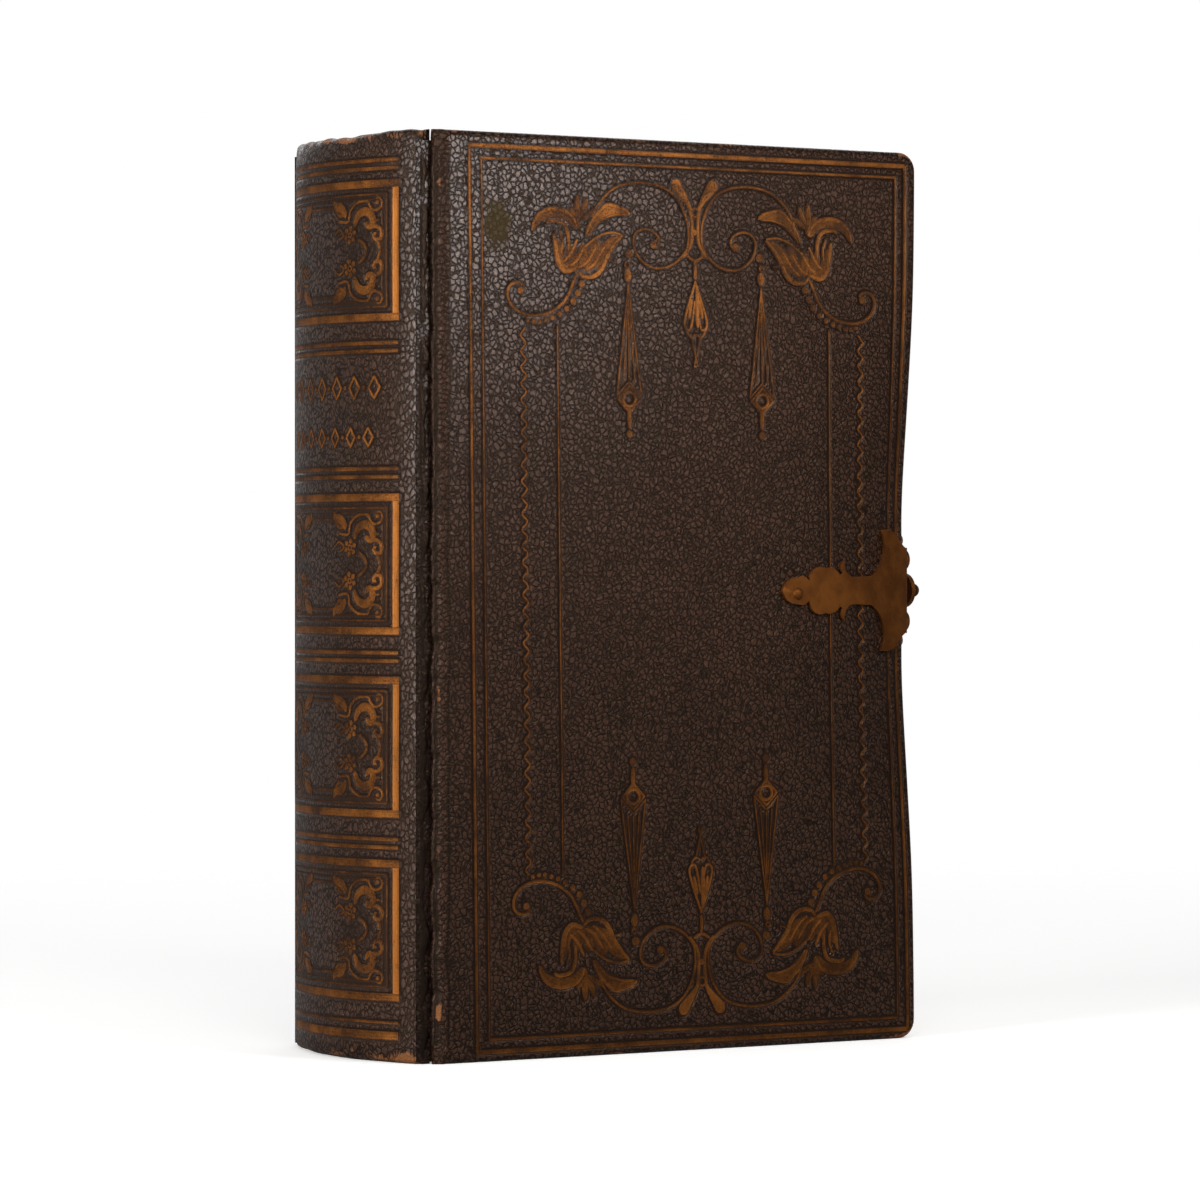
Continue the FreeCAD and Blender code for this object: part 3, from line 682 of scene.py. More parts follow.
@dataclass(frozen=True)
class Fibre:
    """Card, hemp, mull or silk: a plain fibrous finish of one colour with some variation."""

    light: Colour
    dark: Colour
    scale: float = 1200.0
    rough: float = 0.8

    def material(self, name: str) -> bpy.types.Material:
        """Builds the material.

        Args:
            name: Name of the material.

        Returns:
            The material.
        """
        nodes = Nodes(bpy.data.materials.new(name))
        where = nodes.place()
        fibres = nodes.noise(nodes.place((1, 1, 4)), self.scale, 4.0, 0.6)
        cloud = nodes.noise(where, 200.0, 3.0)
        colour = nodes.mix(fibres.step(0.35, 0.65), self.dark, self.light)
        colour = nodes.mix(cloud.step(0.5, 0.8) * 0.4, colour, self.dark)
        normal = nodes.bump(fibres, 0.00005)
        return nodes.surface(Base_Color=colour, Roughness=self.rough, Normal=normal,
                             Specular_IOR_Level=0.25)


@dataclass(frozen=True)
class Stroke:
    """A tooled line on a flat plane: its points, its width and how much gold it has kept."""

    points: Points
    width: float = 0.38
    gold: float = 0.55
    closed: bool = False
    straight: bool = False
    taper: bool = True
    middle_width: float | None = None
    layer: int = 1
    end_width: float | None = None

    def path(self, step: float = 0.22) -> Array:
        """Points along the stroke: straight runs, or a Catmull-Rom curve through the points.

        Args:
            step: Distance between points in millimetres.

        Returns:
            Points along the line.
        """
        knots = np.array(self.points, float)
        if self.closed:
            knots = np.concatenate([knots, knots[:1]])
        parts = []
        last = len(knots) - 1
        for i in range(last):
            a, b = knots[i], knots[i + 1]
            count = max(2, int(np.linalg.norm(b - a) / step) + 1)
            t = np.linspace(0, 1, count, endpoint=i == last - 1)[:, None]
            if self.straight:
                parts.append(a + (b - a) * t)
                continue
            before = knots[i - 1] if i else (knots[-2] if self.closed else 2 * a - b)
            after = knots[i + 2] if i + 2 <= last else (knots[1] if self.closed else 2 * b - a)
            parts.append(0.5 * (2 * a + (b - before) * t
                                + (2 * before - 5 * a + 4 * b - after) * t ** 2
                                + (3 * a - before - 3 * b + after) * t ** 3))
        return np.concatenate(parts)

    def halves(self, path: Array) -> Array:
        """Half of the line's width along its path, rounded off at its ends.

        Args:
            path: Points along the line.

        Returns:
            Half widths at those points.
        """
        run = np.concatenate([[0], np.cumsum(np.linalg.norm(np.diff(path, axis=0), axis=1))])
        share = run / run[-1]
        half = np.full(len(path), self.width / 2)
        if self.end_width is not None:
            half = half + (self.end_width - self.width) / 2 * share ** 1.3
        if self.middle_width is not None:
            half = half + (self.middle_width - self.width) / 2 * np.sin(math.pi * share) ** 0.8
        if not self.closed and self.taper:
            near = np.minimum(run, run[-1] - run) / np.maximum(half * 1.3, 0.15)
            half = half * np.sqrt(np.clip(1 - (1 - np.clip(near, 0, 1)) ** 2, 0.02, 1))
        return half


def ring(x: float, z: float, radius: float, width: float = 0.3, gold: float = 0.55) -> Stroke:
    """A tooled circle.

    Args:
        x: Middle, first coordinate.
        z: Middle, second coordinate.
        radius: Radius.
        width: Width of the line.
        gold: How much gold it has kept.

    Returns:
        The circle as a closed stroke.
    """
    turn = np.linspace(0, 2 * math.pi, 9)[:-1]
    points = tuple(zip(x + radius * np.cos(turn), z + radius * np.sin(turn)))
    return Stroke(points, width, gold, closed=True)


def dot(x: float, z: float, radius: float, gold: float = 0.6) -> Stroke:
    """A tooled round spot, as a very short line."""
    return Stroke(((x - 0.02, z), (x + 0.02, z)), 2 * radius, gold, taper=False)


@dataclass(frozen=True)
class CoverFace:
    """Outer face of the front cover, as a surface over x and z."""

    book: Book

    def depth(self, x: Array, z: Array) -> Array:
        """Depth of the face: the joint's curve, the bow and a slight unevenness.

        Args:
            x: Distances from the front joint line.
            z: Heights.

        Returns:
            Depths below the cover's outer plane.
        """
        uneven = ripple(x, z, 26.0, 3) * 0.05 * smooth(2.0, 9.0, x)
        uneven = uneven * smooth(0.0, 4.0, np.minimum(z, self.book.height - z))
        return self.book.flap(x) + self.book.bow(x, z) + uneven

    def point(self, x: Array, z: Array, lift: Array | float = 0.0) -> Array:
        """Points on the face, lifted outwards in millimetres."""
        return np.stack([x, self.depth(x, z) - lift, z], axis=-1)


@dataclass(frozen=True)
class SpineFace:
    """Outer face of the spine, as a surface over the distance round it and the height."""

    book: Book
    joint_width: float = 2.8
    joint_sink: float = 1.2

    def point(self, u: Array, z: Array, lift: Array | float = 0.0) -> Array:
        """Points on the face: turned about the spine's axis by u over the radius, sunk at the joints.

        Args:
            u: Distances round the spine from its middle.
            z: Heights.
            lift: How far the points stand out.

        Returns:
            Points in the working frame.
        """
        share, torn = self.torn_edge(u, z)
        lean = (u - np.sign(u) * share ** 2 * torn) / self.book.spine_radius
        sunk = self.joint_sink * share ** 2.5
        radius = self.book.spine_radius + self.rise(u, z) + lift - sunk
        return np.stack([self.book.spine_axis - radius * np.cos(lean),
                         self.book.thickness / 2 - radius * np.sin(lean),
                         z - self.drop(u, z)], axis=-1)

    def drop(self, u: Array, z: Array | float) -> Array:
        """How far the worn cap at the head has sunk towards the spine's middle.

        Args:
            u: Distances round the spine from its middle.
            z: Heights.

        Returns:
            Depths that the head has sunk.
        """
        middle = 1 - smooth(3.0, 17.0, np.abs(u))
        return (0.3 * middle + 0.12 * ripple(u, u * 0, 4.0, 61)) * smooth(117.0, 120.0, z)

    def torn_edge(self, u: Array, z: Array) -> tuple[Array, Array]:
        """Share of the way into the joint, and how far the torn edge is drawn back there.

        Args:
            u: Distances round the spine from its middle.
            z: Heights.

        Returns:
            Shares between 0 and 1, and drawn-back distances in millimetres.
        """
        width = self.joint_width
        share = np.clip((np.abs(u) - self.book.spine_half + width) / width, 0, 1)
        torn = 1.2 + 0.2 * ripple(z, z * 0 + u, 6.0, 51) + 0.08 * ripple(z, z * 0 - u, 1.6, 52)
        torn = torn + 0.4 * smooth(116.5, 120.0, z) * (u > 0)
        return share, np.clip(torn, 0.3, 1.9)

    def rise(self, u: Array, z: Array) -> Array:
        """How far the leather stands out: unevenness, and wear of the ends towards the middle.

        Args:
            u: Distances round the spine from its middle.
            z: Heights.

        Returns:
            Distances outwards in millimetres.
        """
        end = np.minimum(z * 1.6, self.book.height - z)
        worn = np.clip(1 - end / 4.0, 0, 1)
        worn = (1 - np.sqrt(1 - worn ** 2)) * (1.0 + 0.2 * ripple(u, z, 7.0, 12))
        middle = 1 - smooth(7.0, 17.0, np.abs(u))
        return ripple(u, z, 21.0, 8) * 0.05 - worn * (0.3 + 1.0 * middle)


@dataclass(frozen=True)
class Tooling:
    """Gilt lines on one surface, and the dents that they make in its leather."""

    strokes: tuple[Stroke, ...]
    move: Callable[[Array], Array] = field(default=lambda points: points)

    def paths(self) -> list[tuple[Array, Array, Stroke]]:
        """Path, half width and stroke of every line, in the surface's own coordinates.

        Returns:
            One entry for each line.
        """
        made = []
        for stroke in self.strokes:
            path = stroke.path()
            made.append((self.move(path), stroke.halves(path), stroke))
        return made

    def distance(self, a: Array, b: Array, reach: float = 1.6) -> Array:
        """Distance from points to the edge of the nearest line, at most reach, in millimetres.

        Args:
            a: First coordinates of the points.
            b: Second coordinates.
            reach: Largest distance that is told.

        Returns:
            Distances, less than zero inside a line.
        """
        flat = np.stack([a.ravel(), b.ravel()], axis=1)
        nearest = np.full(len(flat), reach)
        for path, half, _ in self.paths():
            low, high = path.min(0) - reach - 1, path.max(0) + reach + 1
            near = np.flatnonzero(((flat > low) & (flat < high)).all(axis=1))
            for start in range(0, len(path), 64):
                part = slice(start, start + 65)
                low, high = path[part].min(0) - reach - 1, path[part].max(0) + reach + 1
                close = near[((flat[near] > low) & (flat[near] < high)).all(axis=1)]
                if not len(close):
                    continue
                gap = np.linalg.norm(flat[close, None] - path[None, part], axis=2) - half[None, part]
                nearest[close] = np.minimum(nearest[close], gap.min(axis=1))
        return nearest.reshape(a.shape)

    def leaf(self, book: Book, face: CoverFace | SpineFace, name: str,
             material: bpy.types.Material, mirrored: bool = False) -> bpy.types.Object:
        """Gold leaf of all the lines as ribbons that lie on the surface.

        A ribbon's points are the path plus its sideways direction times the half width times
        -1, -0.75, 0, 0.75 and 1.

        Args:
            book: The book's sizes.
            face: Surface that the gold lies on.
            name: Name of the object.
            material: Its finish.
            mirrored: True for the back cover.

        Returns:
            The gold leaf as one object.
        """
        work = Patchwork(book)
        across = np.array([-1.0, -0.75, 0.0, 0.75, 1.0])
        for path, half, stroke in self.paths():
            if len(path) <= 4 and not stroke.taper:
                turn = np.linspace(0, 2 * math.pi, 13)[:-1]
                rim = np.array([0.0, 0.7, 1.0])
                a = path[0, 0] + half[0] * rim[:, None] * np.cos(turn)
                b = path[0, 1] + half[0] * rim[:, None] * np.sin(turn)
                lift = 0.07 - 0.05 * np.broadcast_to(rim[:, None], a.shape) ** 2
                work.grid(face.point(a, b, lift), flip=True, ring=True,
                          across=np.broadcast_to(rim[:, None], a.shape), bright=stroke.gold)
                continue
            if stroke.closed:
                way = np.roll(path, -1, axis=0) - np.roll(path, 1, axis=0)
                way[0] = way[-1] = path[1] - path[-2]
            else:
                way = np.gradient(path, axis=0)
            way = way / np.maximum(np.linalg.norm(way, axis=1, keepdims=True), 1e-9)
            side = np.stack([-way[:, 1], way[:, 0]], axis=1)
            flat = path[:, None] + side[:, None] * (half[:, None] * across)[..., None]
            rise = 0.03 + 0.025 * stroke.layer
            lift = np.broadcast_to(rise - 0.03 * across ** 2, flat.shape[:2])
            work.grid(face.point(flat[..., 0], flat[..., 1], lift), flip=True,
                      across=np.broadcast_to(np.abs(across), flat.shape[:2]), bright=stroke.gold)
        return work.build(name, material, mirrored=mirrored)


def flipped(strokes: Sequence[Stroke]) -> list[Stroke]:
    """The strokes and their mirror images in the line a = 0.

    Args:
        strokes: Lines to one side of the line a = 0.

    Returns:
        Those lines and their images.
    """
    both = list(strokes)
    for stroke in strokes:
        points = tuple((-a, b) for a, b in stroke.points)
        both.append(replace(stroke, points=points))
    return both


def moved(strokes: Sequence[Stroke], scale_b: float = 1.0, shift_b: float = 0.0,
          gold: float = 0.0) -> list[Stroke]:
    """The strokes stretched and shifted along the second coordinate."""
    return [replace(s, points=tuple((a, b * scale_b + shift_b) for a, b in s.points),
                    gold=s.gold + gold) for s in strokes]


@dataclass
class CoverDesign:
    """Ornament of the front cover, drawn from the plate's middle line and mirrored."""

    middle: float = 39.5
    top: float = 118.1
    foot: float = 1.3

    def scroll(self) -> list[Stroke]:
        """Scroll and stack at the middle of the head ornament, its left half.

        Returns:
            Lines measured from the plate's middle line.
        """
        m = self.middle
        line = [(23.5, 108), (24, 110.2), (25.5, 112.2), (27.5, 113.6), (30, 114.2), (32.5, 114.2),
                (35, 113.6), (36.8, 112.3), (38, 110.2), (38.5, 108), (38.2, 105.8), (36.8, 104.2),
                (35, 103.3), (33, 103.2), (31.3, 104), (30.2, 105.4), (30, 107), (30.8, 108),
                (32.2, 108.2), (33.5, 107.6), (33.9, 106.7), (33.4, 105.9)]
        strokes = [
            Stroke(tuple((x - m, z) for x, z in line), 0.36, 0.5),
            dot(33.1 - m, 106.2, 0.55, 0.55),
            Stroke(((39.0 - m, 110.8), (38.3 - m, 112.0), (37.3 - m, 113.3), (36.2 - m, 114.8)),
                   0.5, 0.75, end_width=2.1),
            Stroke(((38.7 - m, 111.0), (39.0 - m, 109.6), (38.9 - m, 106.6), (37.6 - m, 104.6)),
                   0.5, 0.6),
            dot(29.3 - m, 104.9, 0.6, 0.5),
            ring(29.0 - m, 103.5, 0.35, 0.22, 0.5),
            Stroke(((25.5 - m, 104.2), (27.2 - m, 103.7)), 0.28, 0.3),
        ]
        return flipped(strokes) + [ring(0, 110.6, 0.55, 0.3, 0.6), dot(0, 108, 0.42, 0.65),
                                   Stroke(((-1.3, 104.9), (0, 104.3), (1.3, 104.9)), 0.4, 0.6)]

    def flower(self) -> list[Stroke]:
        """Left flower with its petals and leaves.

        Returns:
            Outlines, and broad fills under them.
        """
        m = self.middle
        shapes = [
            (((17.8, 107.3), (18.2, 105), (18.5, 103.5), (19.5, 102.4), (21.2, 102.8)), 0.4, 0.62,
             0.8),
            (((28.3, 107.3), (27, 106), (25.8, 104.3), (25.2, 103), (24.2, 102), (23, 101.7),
              (22, 101.9), (21.3, 102.6)), 0.4, 0.6, 0.7),
            (((22.5, 105.6), (24.5, 107), (26.5, 107.6), (28.3, 107.4)), 0.35, 0.6, None),
            (((20, 105), (20, 107), (19.3, 108.5), (17.5, 108.9), (16.7, 108.5)), 0.4, 0.6, 0.6),
            (((21.5, 108), (20.8, 109.3), (19.5, 110.2), (17.5, 110.4), (15.8, 109.8),
              (14.8, 108.6), (14.5, 107.4)), 0.36, 0.6, 0.6),
            (((22.7, 107), (23.5, 108.8), (24.8, 110.3), (26, 111.2), (27.5, 111), (28.8, 110.6),
              (29.5, 110.0)), 0.36, 0.58, 0.55),
            (((28.9, 110.0), (27, 109.9), (25, 109.2), (24, 108.4), (23, 107)), 0.3, 0.5, None),
            (((21.6, 108.2), (21.4, 110.5), (21.5, 112.4)), 0.35, 0.4, 1.0),
            (((21.7, 109.4), (22.4, 110.6), (22.9, 111.9)), 0.35, 0.4, 0.9),
            (((21.9, 109.0), (23.0, 109.8), (24.1, 110.4)), 0.3, 0.38, 0.8),
            (((21.4, 109.4), (20.8, 110.0), (20.1, 110.7)), 0.3, 0.38, 0.8),
            (((19.2, 103.6), (20.3, 104.6), (21.4, 106.6)), 0.3, 0.7, 0.5),
            (((20.3, 103.1), (21.4, 104.0), (22.6, 105.9)), 0.3, 0.7, 0.5),
            (((21.5, 102.9), (22.8, 103.6), (24.2, 105.6)), 0.3, 0.65, 0.5),
            (((22.7, 102.6), (24.0, 103.6), (25.6, 105.8)), 0.3, 0.65, 0.45),
            (((18.9, 104.6), (19.1, 106.2), (18.6, 107.8)), 0.28, 0.6, 0.4),
        ]
        fills = [
            (((18.1, 106.5), (18.9, 103.8), (20.6, 102.9)), 0.8, 1.5),
            (((20.1, 105.8), (20.7, 104.0), (21.4, 102.6)), 0.8, 1.8),
            (((22.2, 106.0), (22.1, 104.2), (22.0, 102.6)), 0.9, 2.0),
            (((24.5, 106.6), (23.8, 104.4), (22.6, 102.5)), 0.9, 2.2),
            (((27.6, 107.1), (25.9, 105.5), (23.9, 103.0)), 0.7, 1.9),
            (((21.3, 108.0), (19.5, 109.6), (17.2, 109.8), (15.3, 108.9), (14.6, 107.6)), 0.5, 1.3),
            (((22.7, 107.2), (24.5, 109.4), (26.6, 110.5), (29.2, 110.1)), 0.5, 1.5),
        ]
        drawn = [Stroke(tuple((x - m, z) for x, z in points), width, gold, middle_width=bulge)
                 for points, width, gold, bulge in shapes]
        return drawn + [Stroke(tuple((x - m, z) for x, z in points), width, 0.42,
                               middle_width=bulge, layer=0) for points, width, bulge in fills]

    def stem(self) -> list[Stroke]:
        """Stem that curls outwards from the flower, with a row of shrinking beads.

        Returns:
            The stem's line, its end and its beads.
        """
        m = self.middle
        line = [(21.3, 102.2), (20.6, 100.8), (20, 99.5), (19, 98.2), (17.3, 97.1), (15.5, 96.6),
                (13.5, 96.6), (11.7, 97.4), (10.8, 98.7), (10.8, 99.9), (11.5, 100.6),
                (12.6, 100.7), (13.3, 100.1)]
        beads = [(22, 100.8, 0.5), (21.4, 99.6, 0.5), (20.7, 98.5, 0.47), (19.7, 97.5, 0.42),
                 (18.6, 96.8, 0.38), (17.5, 96.3, 0.36), (16.5, 96, 0.33), (15.5, 95.7, 0.33),
                 (14.6, 95.7, 0.33), (13.7, 95.9, 0.3)]
        strokes = [Stroke(tuple((x - m, z) for x, z in line), 0.42, 0.5),
                   dot(12.7 - m, 99.7, 0.5, 0.6)]
        return strokes + [dot(x - m, z, r, 0.5) for x, z, r in beads]

    def pendants(self) -> list[Stroke]:
        """Long spear-shaped drop below a flower, and half of the fan-shaped middle drop.

        Returns:
            Both long drops and the whole middle drop.
        """
        c = 29.1 - self.middle
        fine = 0.24
        strokes = [
            Stroke(((c, 103.0), (c, 101.2)), 0.5, 0.55, middle_width=1.1),
            Stroke(((c, 101), (c, 88.4)), fine, 0.5),
            Stroke(((c, 100.6), (c - 1.9, 86.3), (c, 88.2)), fine, 0.55, straight=True),
            Stroke(((c, 100.6), (c + 1.9, 86.3), (c, 88.2)), fine, 0.55, straight=True),
            Stroke(((c - 0.1, 98.0), (c - 0.9, 88.0)), fine * 0.8, 0.5, straight=True),
            Stroke(((c + 0.1, 98.0), (c + 0.9, 88.0)), fine * 0.8, 0.5, straight=True),
            ring(c, 85.9, 0.95, 0.42, 0.6),
            Stroke(((c, 87.6), (c - 1.7, 85.9), (c, 84.2), (c + 1.7, 85.9)), 0.36, 0.5,
                   closed=True, straight=True),
            Stroke(((c, 84.8), (c, 82.0)), 0.4, 0.5, middle_width=0.7),
            dot(c, 81.3, 0.5, 0.5),
        ]
        fan = [
            Stroke(((0.0, 104.2), (0.05, 101.8)), 0.45, 0.6),
            Stroke(((0.1, 101.6), (-0.9, 99.0), (-1.75, 96.2), (-1.4, 95.2), (-0.7, 95.6),
                    (-0.1, 99.0)), 0.36, 0.7),
            Stroke(((-0.55, 99.2), (-1.1, 96.6)), 0.32, 0.7, middle_width=0.55),
            Stroke(((-1.5, 95.0), (-0.8, 94.2), (0.0, 94.6)), 0.3, 0.6),
            Stroke(((-0.7, 94.2), (0.3, 90.2)), 0.28, 0.5),
        ]
        core = [Stroke(((0.3, 101.0), (0.3, 95.4)), 0.4, 0.75, middle_width=0.7)]
        return flipped(strokes) + flipped(fan) + core

    def head(self) -> list[Stroke]:
        """Whole ornament at the head."""
        return self.scroll() + flipped(self.flower() + self.stem()) + self.pendants()

    def lines(self) -> list[Stroke]:
        """Straight and wavy upright lines between the two ornaments.

        Returns:
            Two lines on each side.
        """
        z = np.linspace(95, 24, 140)
        wave = tuple(zip(13.0 - self.middle + 0.4 * np.sin(z * 2 * math.pi / 2.1), z))
        strokes = [Stroke(wave, 0.26, 0.62), Stroke(((18.2 - self.middle, 95.4),
                                                    (18.2 - self.middle, 23.6)), 0.22, 0.6,
                                                   straight=True)]
        return flipped(strokes)

    def plate(self) -> Tooling:
        """The whole ornament, turned a little on the cover as the tool was set.

        Returns:
            Head and tail ornament with the lines between them.
        """
        middle_z = (self.top + self.foot) / 2
        drift = 0.0118

        def move(points: Array) -> Array:
            a, b = points[:, 0], points[:, 1]
            return np.stack([a + self.middle + 0.65 - drift * (b - middle_z),
                             b + drift * 0.3 * a], axis=1)

        head = self.head()
        tail = moved(head, -1.0, 119.7, 0.04)
        return Tooling(tuple(head + tail + self.lines()), move)

    def border(self) -> Tooling:
        """Broad outer line and fine inner line, each a closed run round the cover.

        Returns:
            Four lines of each run.
        """
        broad = ((5.2, 118.1), (73.3, 118.1), (73.85, 1.3), (6.4, 1.3))
        fine = ((7.0, 116.5), (71.7, 116.5), (72.2, 2.9), (8.2, 2.9))
        strokes = []
        sides = (1.0, 0.75, 1.0, 0.65)
        for corners, width, gold in ((broad, 0.62, 0.62), (fine, 0.36, 0.5)):
            for start, end, share in zip(corners, corners[1:] + corners[:1], sides):
                strokes.append(Stroke((start, end), width * share, gold, straight=True,
                                      taper=False))
        return Tooling(tuple(strokes))


@dataclass
class SpineDesign:
    """Gilt frames, lines and corner ornaments of the spine."""

    panel_tops: tuple[float, ...] = (113.7, 73.3, 49.75, 26.15)
    panel_height: float = 18.2
    double_lines: tuple[float, ...] = (116.2, 92.7, 76.5, 52.8, 28.8)
    pitch: float = 1.05
    half: float = 14.5
    frame_half: float = 14.15

    def corner(self) -> list[Stroke]:
        """Leaves, scrolls and a flower for a quarter of a panel, from its middle.

        Returns:
            Lines measured from the panel's middle.
        """
        fine = 0.3
        shapes = [
            (((-0.2, 5.8), (3.0, 5.8)), 0.26, 0.4, None),
            (((3.0, 6.8), (3.4, 6.0), (4.4, 5.8), (5.2, 5.2), (5.5, 4.4)), 0.5, 0.6, 1.25),
            (((3.3, 5.5), (4.2, 4.8), (5.3, 4.8)), fine, 0.5, 0.5),
            (((4.0, 4.0), (6.0, 3.9), (6.5, 5.3), (7.9, 6.3), (9.6, 6.4), (10.1, 5.7), (10.8, 5.2),
              (11.8, 5.5), (12.1, 6.2), (11.6, 6.8), (11.0, 6.6)), 0.36, 0.6, None),
            (((7.2, 3.2), (7.9, 4.6), (9.0, 5.1), (10, 4.8), (10.5, 4.0), (10.3, 3.2), (9.7, 3.2),
              (9.4, 3.8)), 0.5, 0.62, 1.2),
            (((10.4, 3.9), (11.7, 3.9)), fine, 0.5, None),
            (((10.3, 3.0), (11.2, 3.1), (12.0, 2.5), (11.9, 1.6), (11.1, 1.4), (10.7, 2.0),
              (11.2, 2.3)), 0.45, 0.62, 0.6),
            (((11.3, 1.3), (11.6, 0.7), (11.8, 0.0)), 0.35, 0.5, 0.5),
            (((3.2, 2.2), (4.2, 2.9), (5.2, 2.2), (4.2, 1.6)), fine, 0.55, None),
            (((8.0, 1.6), (9.0, 0.9), (9.6, 0.0)), fine, 0.5, 0.45),
        ]
        strokes = [Stroke(points, width, gold, middle_width=bulge)
                   for points, width, gold, bulge in shapes]
        for step in range(6):
            turn = math.radians(60 * step + 20)
            strokes.append(Stroke(((6.4 + 0.45 * math.cos(turn), 2.15 + 0.45 * math.sin(turn)),
                                   (6.4 + 1.25 * math.cos(turn), 2.15 + 1.25 * math.sin(turn))),
                                  0.42, 0.62, middle_width=0.8))
        strokes += [ring(6.4, 2.15, 0.32, 0.2, 0.7), dot(11.3, 6.2, 0.3, 0.6)]
        return strokes

    def panel(self, top: float, wear: float) -> list[Stroke]:
        """One frame with its inner lines and four corners.

        Args:
            top: Height of the frame's upper edge.
            wear: How much less gold is left than on the best panel.

        Returns:
            All of the panel's lines.
        """
        middle = top - self.panel_height / 2
        half, rise = self.frame_half, self.panel_height / 2 - 0.5
        strokes = []
        corners = ((-half, rise), (half, rise), (half, -rise), (-half, -rise))
        # The right side of each frame has the brightest gold and the left side the dullest.
        side_brightness = (0.6, 1.0, 0.66, 0.5)
        for start, end, gold in zip(corners, corners[1:] + corners[:1], side_brightness):
            reach = np.sign(np.array(end) - np.array(start)) * np.array([0.5, -0.5])
            strokes.append(Stroke((tuple(np.array(start) - reach), tuple(np.array(end) + reach)),
                                  1.0, gold, straight=True, taper=False))
        for inset, width, gold in ((1.35, 0.24, 0.42), (2.0, 0.16, 0.25)):
            box = [(a * (1 - inset / half), b * (1 - inset / rise)) for a, b in corners]
            for start, end in zip(box, box[1:] + box[:1]):
                strokes.append(Stroke((start, end), width, gold, straight=True, taper=False))
        quarter = flipped(self.corner())
        strokes += quarter + moved(quarter, -1.0)
        return moved(strokes, 1.0, middle, -wear)

    def lozenges(self) -> list[Stroke]:
        """Two plain rows of lozenges and spots between the double lines.

        Returns:
            Lines of both rows.
        """
        strokes = []
        for z, size, pitch, count in ((87.0, 0.95, 3.2, 7), (80.6, 0.8, 2.9, 7)):
            for step in range(count):
                a = (step - (count - 1) / 2) * pitch * 1.12
                strokes.append(Stroke(((a - size, z), (a, z + size * 1.5), (a + size, z),
                                       (a, z - size * 1.5)), 0.34, 0.8, closed=True,
                                      straight=True))
                if step:
                    strokes.append(dot(a - pitch * 0.56, z, 0.28, 0.7))
        return strokes

    def tooling(self) -> Tooling:
        """All of the spine's lines.

        Returns:
            Double lines, foot lines, panels and lozenges.
        """
        strokes = []
        for top in self.double_lines:
            for z in (top, top - self.pitch):
                strokes.append(Stroke(((-self.half, z), (self.half, z)), 0.5, 0.55,
                                      straight=True, taper=False))
        for z, width, gold in ((5.2, 0.36, 0.5), (3.5, 1.1, 0.6)):
            strokes.append(Stroke(((-self.half, z), (self.half, z)), width, gold, straight=True,
                                  taper=False))
        for top, wear in zip(self.panel_tops, (0.0, 0.0, 0.04, 0.06)):
            strokes += self.panel(top, wear)
        return Tooling(tuple(strokes + self.lozenges()))


